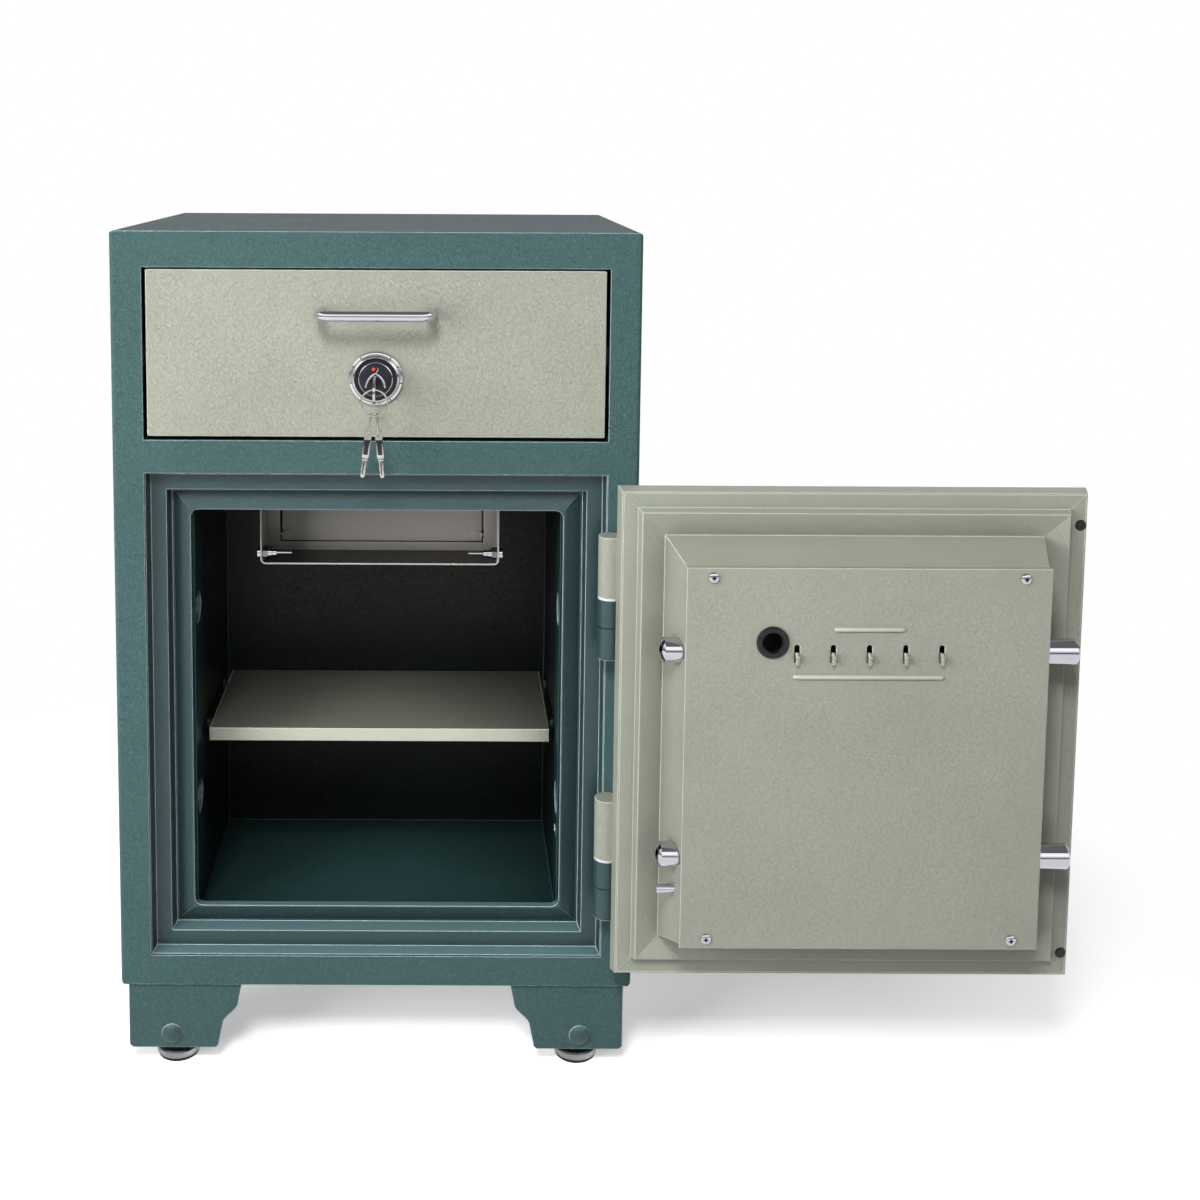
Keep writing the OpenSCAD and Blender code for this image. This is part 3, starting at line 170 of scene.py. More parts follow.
@dataclass(frozen=True)
class WrinkleEnamel:
    """Stoved wrinkle enamel on folded sheet: worm-like ridges, a few pits, a painted highlight on the folds,
    and painted shade in grooves and corners.
    """

    name: str
    colour: str
    # Pale colour painted along the folds as their highlight
    fold_highlight: str
    # Colour painted on level faces as the light or shade that falls on them
    level: str = ""
    mouth: str = ""
    mouth_mm: float = 24.0
    grain_mm: float = 6.0
    relief_mm: float = 0.45
    contrast: float = 0.07
    roughness: float = 0.42
    fold_mm: float = 1.3
    # Share of that painted highlight on the sharpest folds
    fold_highlight_share: float = 0.85
    coat: float = 0.1
    # Painted shade in grooves and corners: its strength, reach, and share on upward faces
    cavity_shade: float = 0.35
    cavity_shade_mm: float = 22.0
    upward_shade_share: float = 0.25
    specular: float = 0.5
    # Radians of the contour wave over the whole noise, and pits and spray clouds in a metre
    contours: float = 42.0
    pits: float = 110.0
    clouds: float = 9.0
    sheen_drift: float = 0.06

    def make(self) -> Material:
        """Builds the enamel."""
        material, tree, place = new_material(self.name)
        normal, fold = rounded_normal(tree, self.fold_mm)
        ridge = self._ridges(tree, place)
        # Slow drift of the spray coat over a hand's breadth
        spray = {"Vector": place, "Scale": self.clouds, "Detail": 3.0, "Roughness": 0.6}
        drift = add_node(tree, "ShaderNodeTexNoise", spray)
        colour = self._paint_cavity_shade(tree, self._tone(tree, place, ridge, drift))
        # Painted highlight: the pale colour laid along the folds
        share = add_node(tree, "ShaderNodeMath", {0: fold, 1: self.fold_highlight_share}, operation="MULTIPLY")
        relief = {"Strength": 0.8, "Distance": self.relief_mm * MM, "Height": ridge, "Normal": normal}
        span = {"To Min": self.roughness - self.sheen_drift, "To Max": self.roughness + self.sheen_drift}
        look = {
            "Base Color": self._mix(tree, share, colour, srgb(self.fold_highlight)),
            "Roughness": add_node(tree, "ShaderNodeMapRange", {"Value": drift, **span}),
            "Normal": add_node(tree, "ShaderNodeBump", relief),
            "IOR": 1.5,
            "Coat Weight": self.coat,
            "Specular IOR Level": self.specular,
            "Coat Roughness": 0.22,
        }
        shader = add_node(tree, "ShaderNodeBsdfPrincipled", look)
        add_node(tree, "ShaderNodeOutputMaterial", {"Surface": shader})
        return material

    def _ridges(self, tree: Tree, place: Socket) -> Feed:
        """Draws the worm-like ridges as contour lines of a noise with cells grain_mm wide.

        Args:
            tree: Material tree.
            place: Object coordinates.

        Returns:
            Height from 0 in the furrows to 1 on the ridges.
        """
        cells = {"Vector": place, "Scale": 1000 / self.grain_mm, "Detail": 1.0, "Roughness": 0.5}
        noise = add_node(tree, "ShaderNodeTexNoise", {**cells, "Distortion": 0.9})
        wave = add_node(tree, "ShaderNodeMath", {0: noise, 1: self.contours}, operation="MULTIPLY")
        swell = add_node(tree, "ShaderNodeMath", {0: wave}, operation="SINE")
        return add_node(tree, "ShaderNodeMapRange", {"Value": swell, "From Min": -0.2})

    def _mix(self, tree: Tree, share: Any, first: Any, second: Any) -> Socket:
        """Mixes two colours and returns the mixed one."""
        node = add_node(tree, "ShaderNodeMix", {"Factor": share, 6: first, 7: second}, data_type="RGBA")
        return node.outputs[2]

    def _paint_cavity_shade(self, tree: Tree, colour: Feed) -> Feed:
        """Darkens the coat in grooves, inner corners and near other parts: painted shade."""
        reach = {"Distance": self.cavity_shade_mm * MM}
        near = add_node(tree, "ShaderNodeAmbientOcclusion", reach, samples=6).outputs["AO"]
        way = add_node(tree, "ShaderNodeNewGeometry").outputs["Normal"]
        up = add_node(tree, "ShaderNodeSeparateXYZ", {0: way}).outputs["Z"]
        # Ledges that look up get only a share of the painted shade, their undersides all of it
        share = {"To Min": 1 - self.cavity_shade, "To Max": 1 - self.cavity_shade * self.upward_shade_share}
        span = {"From Min": -0.6, "From Max": 0.8, **share}
        least = add_node(tree, "ShaderNodeMapRange", {"Value": up, **span})
        depth = {"Value": near, "From Min": 0.4, "From Max": 0.95, "To Min": least}
        shade = add_node(tree, "ShaderNodeMapRange", depth)
        return add_node(tree, "ShaderNodeHueSaturation", {"Color": colour, "Value": shade})

    def _tone(self, tree: Tree, place: Socket, ridge: Feed, drift: Feed) -> Feed:
        """Mixes the coat's colour: ridges lighter in part as a painted highlight, slow drift, pits, and
        painted light or shade on level faces.

        Args:
            tree: Material tree.
            place: Object coordinates.
            ridge: Height of the wrinkle.
            drift: Slow noise over the coat.

        Returns:
            The coat's colour.
        """
        half = self.contrast / 2
        cells = add_node(tree, "ShaderNodeTexVoronoi", {"Vector": place, "Scale": self.pits})
        parts = (
            # Ridges lighter and furrows darker, in part the wrinkle's painted highlight and shade
            {"Value": ridge, "To Min": -half, "To Max": half},
            {"Value": drift, "From Min": 0.3, "From Max": 0.7, "To Min": 0.95, "To Max": 1.05},
            {"Value": cells, "From Min": 0.05, "From Max": 0.09, "To Min": -0.3, "To Max": 0.0},
        )
        value: Any = 0.0
        for part in parts:
            term = add_node(tree, "ShaderNodeMapRange", part)
            value = add_node(tree, "ShaderNodeMath", {0: value, 1: term}, operation="ADD")
        base: Any = srgb(self.colour)
        if self.mouth:
            depth = add_node(tree, "ShaderNodeSeparateXYZ", {0: place}).outputs["Y"]
            outer = add_node(tree, "ShaderNodeMath", {0: depth, 1: self.mouth_mm * MM}, operation="LESS_THAN")
            base = self._mix(tree, outer, base, srgb(self.mouth))
        # Level faces take a lighter or darker colour: painted light or painted shade
        if self.level:
            way = add_node(tree, "ShaderNodeNewGeometry").outputs["Normal"]
            up = add_node(tree, "ShaderNodeSeparateXYZ", {0: way}).outputs["Z"]
            share = add_node(tree, "ShaderNodeMapRange", {"Value": up, "From Min": 0.5, "From Max": 0.8})
            base = self._mix(tree, share, base, srgb(self.level))
        return add_node(tree, "ShaderNodeHueSaturation", {"Color": base, "Value": value})


@dataclass(frozen=True)
class PlatedMetal:
    """Plated steel: bright chrome is nearly a mirror, zinc is grey and finely grained."""

    name: str
    colour: str
    roughness: float
    grain_mm: float = 0.8
    relief_mm: float = 0.003
    edge_mm: float = 0.35
    # Wiped patches in a metre
    patches: float = 70.0

    def make(self) -> Material:
        """Builds the plated metal."""
        material, tree, place = new_material(self.name)
        normal, _ = rounded_normal(tree, self.edge_mm)
        grain = {"Vector": place, "Scale": 1000 / self.grain_mm, "Detail": 3.0, "Roughness": 0.6}
        height = add_node(tree, "ShaderNodeTexNoise", grain)
        patches = {"Vector": place, "Scale": self.patches, "Detail": 4.0}
        smear = add_node(tree, "ShaderNodeTexNoise", patches)
        rub = {"To Min": self.roughness * 0.8, "To Max": self.roughness * 1.35}
        span = {"From Min": 0.35, "From Max": 0.7, **rub}
        relief = {"Strength": 0.4, "Distance": self.relief_mm * MM, "Height": height, "Normal": normal}
        look = {
            "Base Color": srgb(self.colour),
            "Metallic": 1.0,
            "Roughness": add_node(tree, "ShaderNodeMapRange", {"Value": smear, **span}),
            "Normal": add_node(tree, "ShaderNodeBump", relief),
        }
        shader = add_node(tree, "ShaderNodeBsdfPrincipled", look)
        add_node(tree, "ShaderNodeOutputMaterial", {"Surface": shader})
        return material


@dataclass(frozen=True)
class MouldedSolid:
    """Moulded rubber, plastic or cast mineral: one colour with a grain as coarse as its mould or grit."""

    name: str
    colour: str
    roughness: float
    grain_mm: float
    relief_mm: float
    shade: float = 0.08
    edge_mm: float = 0.5

    def make(self) -> Material:
        """Builds the moulded material."""
        material, tree, place = new_material(self.name)
        normal, _ = rounded_normal(tree, self.edge_mm)
        grain = {"Vector": place, "Scale": 1000 / self.grain_mm, "Detail": 4.0, "Roughness": 0.6}
        grit = add_node(tree, "ShaderNodeTexNoise", grain)
        span = {"From Min": 0.3, "From Max": 0.7, "To Min": 1 - self.shade, "To Max": 1 + self.shade}
        value = add_node(tree, "ShaderNodeMapRange", {"Value": grit, **span})
        tone = add_node(tree, "ShaderNodeHueSaturation", {"Color": srgb(self.colour), "Value": value})
        relief = {"Strength": 0.5, "Distance": self.relief_mm * MM, "Height": grit, "Normal": normal}
        look = {
            "Base Color": tone,
            "Roughness": self.roughness,
            "Normal": add_node(tree, "ShaderNodeBump", relief),
            "IOR": 1.5,
        }
        shader = add_node(tree, "ShaderNodeBsdfPrincipled", look)
        add_node(tree, "ShaderNodeOutputMaterial", {"Surface": shader})
        return material


class Finish(Enum):
    """Every finish on the safe."""

    # Dark blue-green wrinkle enamel: lit faces grey-green, a painted highlight on the folds, its level top
    # painted darker as shade
    CASE = WrinkleEnamel(
        "teal_wrinkle_enamel", "#496464", "#cfe6ea", level="#2c4248", grain_mm=4.6, coat=0.0, specular=0.12
    )
    # The same enamel flowed smooth in the stepped frame and glossy, painted darker as the shade in its
    # grooves; painted light on its ledges and a painted highlight on its folds
    FRAME = WrinkleEnamel(
        "teal_frame_enamel", "#2e474a", "#e4f2f6", level="#5c7a7e", relief_mm=0.15, contrast=0.05,
        roughness=0.32, coat=0.2, cavity_shade=0.85,
    )
    # Inside the vault the walls are nearly black and the mouth keeps its blue-green; the floor keeps it as
    # painted light on level faces, and painted shade darkens the corners and the back
    VAULT = WrinkleEnamel(
        "dark_vault_enamel", "#151b1b", "#5d7c7d", level="#2b4646", mouth="#173436", relief_mm=0.1,
        contrast=0.1, roughness=0.34, coat=0.0, fold_highlight_share=0.5, cavity_shade=0.7, cavity_shade_mm=150.0, upward_shade_share=1.0,
        specular=0.25,
    )
    # Pale grey-green wrinkle enamel of the door, with painted shade in its grooves
    DOOR = WrinkleEnamel(
        "sage_wrinkle_enamel", "#9ea294", "#f3f5ea", grain_mm=3.0, relief_mm=0.16, contrast=0.04,
        cavity_shade=0.6, cavity_shade_mm=30.0,
    )
    # The same enamel on the drawer's front and the door's knuckles, its wrinkle coarser
    DRAWER = WrinkleEnamel(
        "sage_drawer_enamel", "#9fa294", "#f6f7ee", grain_mm=3.8, relief_mm=0.3, contrast=0.04
    )
    # The pressed beads, painted paler than the door as their highlight
    BEAD_HIGHLIGHT = WrinkleEnamel(
        "sage_bead_highlight_enamel", "#b9bcae", "#eef1e4", grain_mm=4.0, relief_mm=0.03, contrast=0.04
    )
    # The shelf: a bright folded lip before a top painted darker as shade, the painted shade deepening towards
    # the back
    SHELF = WrinkleEnamel(
        "sage_shelf_enamel", "#c3c6b5", "#f6f7ec", level="#7d8174", grain_mm=4.0, relief_mm=0.06,
        contrast=0.05, cavity_shade=0.85, cavity_shade_mm=170.0, upward_shade_share=1.0,
    )
    # Grey-brown primer on the chute's thin sheet, its level faces painted nearly black as shade
    CHUTE = WrinkleEnamel(
        "grey_chute_enamel", "#aba7a0", "#dcd8ce", level="#14130e", grain_mm=4.0, relief_mm=0.02,
        contrast=0.03, roughness=0.38, cavity_shade=0.45,
    )
    # Chromium plate on bolts, pull and lever: near-mirror
    CHROME = PlatedMetal("bright_chromium_plate", "#cfcdd6", 0.07)
    # The same plate brushed, on the lock's rose and pointer
    SATIN = PlatedMetal("satin_chromium_plate", "#dddce2", 0.16)
    # Zinc-plated mild steel of feet, runners and boltwork: dull and grey
    ZINC = PlatedMetal("zinc_plated_steel", "#a6a8ab", 0.34, relief_mm=0.008)
    # Turned steel nuts, a darker grey than the zinc
    STEEL = PlatedMetal("dark_turned_steel", "#7f7d7b", 0.22, relief_mm=0.004)
    # Nickel-plated brass keys: warmer and a little worn
    NICKEL = PlatedMetal("nickel_plated_brass", "#c6c1bc", 0.12)
    # Moulded rubber of grommet, bumpers and pads, the dark of seams, and the painted shade of the screws'
    # cross recesses
    RUBBER = MouldedSolid("moulded_black_rubber", "#0c0c10", 0.4, 1.4, 0.05)
    # Injection-moulded ABS of dial and lock face
    PLASTIC = MouldedSolid("moulded_black_abs", "#1a1b26", 0.3, 1.0, 0.02)
    # Nylon bearing washer, nearly white
    NYLON = MouldedSolid("nylon_bearing_washer", "#dcdae2", 0.4, 2.0, 0.02, shade=0.03)
    # Cast light concrete that fills the walls
    CONCRETE = MouldedSolid("cast_mineral_fill", "#b4ae9f", 0.9, 3.0, 0.3, shade=0.14)
    # Red index lacquer on the lock's face
    LACQUER = MouldedSolid("red_index_lacquer", "#d8402f", 0.3, 1.5, 0.01, shade=0.04)


class Palette:
    """Makes each finish once and hands it out."""

    def __init__(self) -> None:
        """Starts with no finish made."""
        self._made: dict[Finish, Material] = {}

    def get(self, finish: Finish) -> Material:
        """Returns the finish's material, made on first use."""
        if finish not in self._made:
            self._made[finish] = finish.value.make()
        return self._made[finish]


def new_object(name: str, data: Any) -> Piece:
    """Makes an object of its data and links it to the scene."""
    piece = bpy.data.objects.new(name, data)
    bpy.context.scene.collection.objects.link(piece)
    return piece


def mesh_piece(name: str, shape: Shape, material: Material) -> Piece:
    """Turns a bmesh into an object at the origin.

    Args:
        name: Name of the piece.
        shape: Its mesh, which is freed.
        material: Its finish.

    Returns:
        The new object.
    """
    bmesh.ops.remove_doubles(shape, verts=shape.verts, dist=1e-6)
    bmesh.ops.recalc_face_normals(shape, faces=shape.faces)
    mesh = bpy.data.meshes.new(name)
    shape.to_mesh(mesh)
    shape.free()
    mesh.materials.append(material)
    mesh.shade_smooth()
    mesh.set_sharp_from_angle(angle=radians(SMOOTH_DEGREES))
    return new_object(name, mesh)


def skin(shape: Shape, rings: Sequence[Any], closed: bool) -> None:
    """Spans faces from each ring of points to the next, and to a tip where a ring is one point."""
    for low, high in zip(rings, rings[1:] + rings[:1] if closed else rings[1:]):
        steps = max(len(low), len(high))
        for i in range(steps if steps > 1 else 0):
            j = (i + 1) % steps
            corners = (low[i % len(low)], low[j % len(low)], high[j % len(high)], high[i % len(high)])
            shape.faces.new(tuple(dict.fromkeys(corners)))


def lathe(profile: Profile, place: Matrix, steps: int = 72) -> Shape:
    """Turns a closed profile about the local Z axis.

    Args:
        profile: Radius and height of each point, in millimetres.
        place: Where the turned shape goes.
        steps: Faces around.

    Returns:
        The turned mesh, in metres.
    """
    shape = bmesh.new()
    rings = []
    turns = [2 * pi * i / steps for i in range(steps)]
    for radius, height in profile:
        if radius < 1e-6:
            rings.append([shape.verts.new(place @ Vector((0, 0, height * MM)))])
            continue
        spots = [Vector((radius * cos(t) * MM, radius * sin(t) * MM, height * MM)) for t in turns]
        rings.append([shape.verts.new(place @ spot) for spot in spots])
    skin(shape, rings, closed=True)
    return shape


def facing(x: float, y: float, z: float, outward: float) -> Matrix:
    """Returns a place whose local Z runs along Y: outward -1 faces the viewer, 1 faces the back."""
    turn = Matrix.Rotation(radians(90 if outward < 0 else -90), 4, "X")
    return Matrix.Translation((x, y, z)) @ turn


def tube(points: Sequence[Vector], radius: float, closed: bool = False, sides: int = 12) -> Shape:
    """Sweeps a round wire along points.

    Args:
        points: Centre line, in metres.
        radius: Wire radius, in metres.
        closed: Whether the last point joins the first.
        sides: Faces around the wire.

    Returns:
        The swept mesh.
    """
    shape = bmesh.new()
    count = len(points)
    rings = []
    turns = [2 * pi * k / sides for k in range(sides)]
    guide = Vector((0, 1, 0))
    for i, point in enumerate(points):
        before = points[i - 1] if closed or i > 0 else point
        after = points[(i + 1) % count] if closed or i < count - 1 else point
        ahead = (after - before).normalized()
        side = guide - ahead * guide.dot(ahead)
        if side.length < 1e-4:
            side = Vector((1, 0, 0)) - ahead * ahead.x
        side.normalize()
        other = ahead.cross(side)
        guide = side
        spots = [point + side * radius * cos(t) + other * radius * sin(t) for t in turns]
        rings.append([shape.verts.new(spot) for spot in spots])
    skin(shape, rings, closed)
    if not closed:
        shape.faces.new(rings[0])
        shape.faces.new(rings[-1])
    return shape


def thicken(shape: Shape, faces: list[bmesh.types.BMFace], thick: float) -> None:
    """Draws a mesh's faces out along Y by a thickness in millimetres."""
    grown = bmesh.ops.extrude_face_region(shape, geom=faces)
    moved = [v for v in grown["geom"] if isinstance(v, bmesh.types.BMVert)]
    bmesh.ops.translate(shape, verts=moved, vec=(0, thick * MM, 0))


def flat_plate(outline: Profile, thick: float, place: Matrix, ease: float) -> Shape:
    """Makes a plate with eased edges from an outline in its local X-Z plane.

    Args:
        outline: Corner points, in millimetres.
        thick: Thickness along local Y, in millimetres.
        place: Where the plate goes.
        ease: Width of the eased edge, in millimetres.

    Returns:
        The plate's mesh, in metres.
    """
    shape = bmesh.new()
    face = shape.faces.new([shape.verts.new(Vector((x * MM, -thick / 2 * MM, z * MM))) for x, z in outline])
    thicken(shape, [face], thick)
    bmesh.ops.recalc_face_normals(shape, faces=shape.faces)
    edges = list(shape.edges)
    bmesh.ops.bevel(shape, geom=edges, offset=ease * MM, segments=2, profile=0.6, affect="EDGES")
    bmesh.ops.transform(shape, matrix=place, verts=shape.verts)
    return shape


def slab(size: Point, place: Matrix) -> Shape:
    """Makes a plain block of a size in millimetres around its place."""
    shape = bmesh.new()
    bmesh.ops.create_cube(shape, size=1.0)
    bmesh.ops.scale(shape, vec=[v * MM for v in size], verts=shape.verts)
    bmesh.ops.transform(shape, matrix=place, verts=shape.verts)
    return shape


def eye_plate(eye: float, half: float, up: float, down: float, thick: float, place: Matrix) -> Shape:
    """Makes a rectangular plate with a round eye along its local Y.

    Args:
        eye: Radius of the eye, in millimetres.
        half: Half the plate's width.
        up: Height above the eye's centre.
        down: Height below the eye's centre.
        thick: Thickness.
        place: Where the eye's centre goes.

    Returns:
        The plate's mesh, in metres.
    """
    shape = bmesh.new()
    steps = 32
    inner = []
    outer = []
    for i in range(steps):
        turn = 2 * pi * (i + 0.5) / steps
        x, z = cos(turn), sin(turn)
        reach = min(half / abs(x), (up if z > 0 else down) / abs(z))
        inner.append(shape.verts.new((eye * x * MM, -thick / 2 * MM, eye * z * MM)))
        outer.append(shape.verts.new((reach * x * MM, -thick / 2 * MM, reach * z * MM)))
    skin(shape, [inner, outer], closed=False)
    thicken(shape, list(shape.faces), thick)
    bmesh.ops.transform(shape, matrix=place, verts=shape.verts)
    return shape


def join_shapes(shapes: Iterable[Shape]) -> Shape:
    """Copies several bmeshes into one and frees them."""
    whole = bmesh.new()
    for shape in shapes:
        part = bpy.data.meshes.new("part")
        shape.to_mesh(part)
        shape.free()
        whole.from_mesh(part)
        bpy.data.meshes.remove(part)
    return whole


def put(piece: Piece, body: Body, slot: str, *nodes: str) -> None:
    """Fixes a piece to a body and hides the CAD nodes that it stands for.

    Args:
        piece: Finished object.
        body: Body that carries it.
        slot: The record's material slot; not used.
        *nodes: CAD nodes that it replaces.
    """
    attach(piece, body.value)
    if nodes:
        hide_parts(*nodes)
    LOG.info("%s rides on %s", piece.name, body.value)


def bake(piece: Piece) -> None:
    """Turns an object's evaluated modifiers to a plain mesh and removes them.

    Args:
        piece: Object with live modifiers.
    """
    view = bpy.context.evaluated_depsgraph_get()
    view.update()
    mesh = bpy.data.meshes.new_from_object(piece.evaluated_get(view), depsgraph=view)
    piece.modifiers.clear()
    piece.data = mesh


class ScatterTree:
    """A Geometry Nodes tree that puts one shape on each vertex of a carrier mesh."""

    def __init__(self) -> None:
        """Builds the tree with its inputs."""
        tree = bpy.data.node_groups.new("scatter_on_points", "GeometryNodeTree")
        face = tree.interface
        face.new_socket("Geometry", in_out="INPUT", socket_type="NodeSocketGeometry")
        self.shape = face.new_socket("Shape", in_out="INPUT", socket_type="NodeSocketObject").identifier
        self.size = face.new_socket("Size", in_out="INPUT", socket_type="NodeSocketFloat").identifier
        self.finish = face.new_socket("Finish", in_out="INPUT", socket_type="NodeSocketMaterial").identifier
        face.new_socket("Geometry", in_out="OUTPUT", socket_type="NodeSocketGeometry")
        entry = add_node(tree, "NodeGroupInput").outputs
        model = add_node(tree, "GeometryNodeObjectInfo", {"Object": entry["Shape"]})
        named = {"Name": "turn"}
        spots = {
            "Points": entry["Geometry"],
            "Instance": model.outputs["Geometry"],
            "Rotation": add_node(tree, "GeometryNodeInputNamedAttribute", named, data_type="FLOAT_VECTOR"),
            "Scale": entry["Size"],
        }
        spread = add_node(tree, "GeometryNodeInstanceOnPoints", spots)
        real = add_node(tree, "GeometryNodeRealizeInstances", {"Geometry": spread})
        coat = add_node(tree, "GeometryNodeSetMaterial", {"Geometry": real, "Material": entry["Finish"]})
        add_node(tree, "NodeGroupOutput", {0: coat})
        self.tree = tree

    def scatter(self, name: str, shape: Shape, places: Places, material: Material) -> Piece:
        """Repeats a shape.

        Args:
            name: Name of the new piece.
            shape: Mesh around the origin that is repeated.
            places: Position and Euler turn of each copy.
            material: Finish of the copies.

        Returns:
            One plain object with every copy in its mesh.
        """
        model = mesh_piece(name + "_model", shape, material)
        carrier = bpy.data.meshes.new(name)
        carrier.from_pydata([spot for spot, _ in places], [], [])
        turns = carrier.attributes.new("turn", "FLOAT_VECTOR", "POINT")
        for i, (_, turn) in enumerate(places):
            turns.data[i].vector = turn
        piece = new_object(name, carrier)
        modifier = piece.modifiers.new("scatter", "NODES")
        modifier.node_group = self.tree
        modifier[self.shape] = model
        modifier[self.size] = 1.0
        modifier[self.finish] = material
        bake(piece)
        mesh = model.data
        bpy.data.objects.remove(model)
        bpy.data.meshes.remove(mesh)
        return piece


@dataclass
class Assembly:
    """A group of the safe's pieces: the CAD nodes that it dresses and the finishes that it takes."""

    palette: Palette
    nodes: Mapping[str, Piece]

    def dress(self, finish: Finish, *names: str) -> None:
        """Gives CAD nodes a finish.

        Args:
            finish: Their finish.
            *names: Names of the nodes.
        """
        for name in names:
            slots = self.nodes[name].data.materials
            slots.clear()
            slots.append(self.palette.get(finish))

    def add(self, name: str, shape: Shape, finish: Finish, body: Body, slot: str, *nodes: str) -> None:
        """Makes a piece and puts it on its body.

        Args:
            name: Name of the piece.
            shape: Its mesh.
            finish: Its finish.
            body: Body that carries it.
            slot: The record's material slot.
            *nodes: CAD nodes that it replaces.
        """
        put(mesh_piece(name, shape, self.palette.get(finish)), body, slot, *nodes)


@dataclass
class Cabinet(Assembly):
    """Case, stepped frame, vault, legs and the cabinet's hinge halves."""

    liner_mm: float = 2.0
    pin_cup_mm: float = 10.4
    eyelet_mm: float = 9.2
    washer_mm: float = 2.0
    seam_out_mm: float = 0.36
    seam_down_mm: float = 27.0

    def build(self) -> None:
        """Dresses the cabinet's nodes and adds its small trim."""
        legs = ("leg_front_left", "leg_front_right", "leg_rear_left", "leg_rear_right")
        self.dress(Finish.CASE, "body_shell", *legs)
        self.dress(Finish.FRAME, "leg_bolts", "hinge_barrels", "door_frame", "bolt_sockets")
        self.dress(Finish.VAULT, "vault_liner", "drawer_bay", "shelf_pegs")
        self.dress(Finish.SHELF, "shelf")
        self.dress(Finish.CONCRETE, "fire_fill")
        self.dress(Finish.ZINC, "levelling_feet", "slide_rails", "hinge_pins", "lock_keeper")
        self.dress(Finish.RUBBER, "foot_pads")
        self.dress(Finish.NYLON, "hinge_washers")
        self._eyelet()
        self._knuckle_seams()

    def _eyelet(self) -> None:
        """Turns the bright eyelet pressed into the locating pin's socket."""
        low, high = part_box("bolt_sockets")
        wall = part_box("vault_liner")[1][0] - self.liner_mm * MM
        middle = (wall, (low[1] + high[1]) / 2, low[2] + self.pin_cup_mm * MM)
        place = Matrix.Translation(middle) @ Matrix.Rotation(radians(-90), 4, "Y")
        r = self.eyelet_mm
        back = [(r - 2.6, -1.5), (r - 0.9, -1.5), (r - 0.9, 0.0)]
        rim = [(r, 0.0), (r, 0.3), (r - 1.0, 0.8), (r - 2.2, 0.6)]
        ring = lathe(back + rim, place, steps=48)
        self.add("pin_socket_eyelet", ring, Finish.CHROME, Body.CABINET, "chrome")

    def _knuckle_seams(self) -> None:
        """Rolls the dark seam round each of the cabinet's knuckles, where its end cap is pressed in."""
        low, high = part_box("hinge_washers")
        x = (low[0] + high[0]) / 2
        y = (low[1] + high[1]) / 2
        r = (high[0] - low[0]) / 2 / MM + self.seam_out_mm
        rings = []
        for z in (low[2], high[2] - self.washer_mm * MM):
            place = Matrix.Translation((x, y, z - self.seam_down_mm * MM))
            rings.append(lathe([(r - 0.5, -0.6), (r, -0.6), (r, 0.6), (r - 0.5, 0.6)], place))
        self.add("knuckle_seams", join_shapes(rings), Finish.RUBBER, Body.CABINET, "teal_paint")


@dataclass
class DropChute(Assembly):
    """Throat, chute, flap and their fixings."""

    def build(self) -> None:
        """Dresses the chute's nodes."""
        self.dress(Finish.CHUTE, "drop_throat", "chute_shell", "chute_frame", "chute_flap")
        self.dress(Finish.CHROME, "chute_studs", "flap_pins", "chute_spacers")
        self.dress(Finish.STEEL, "chute_nuts")


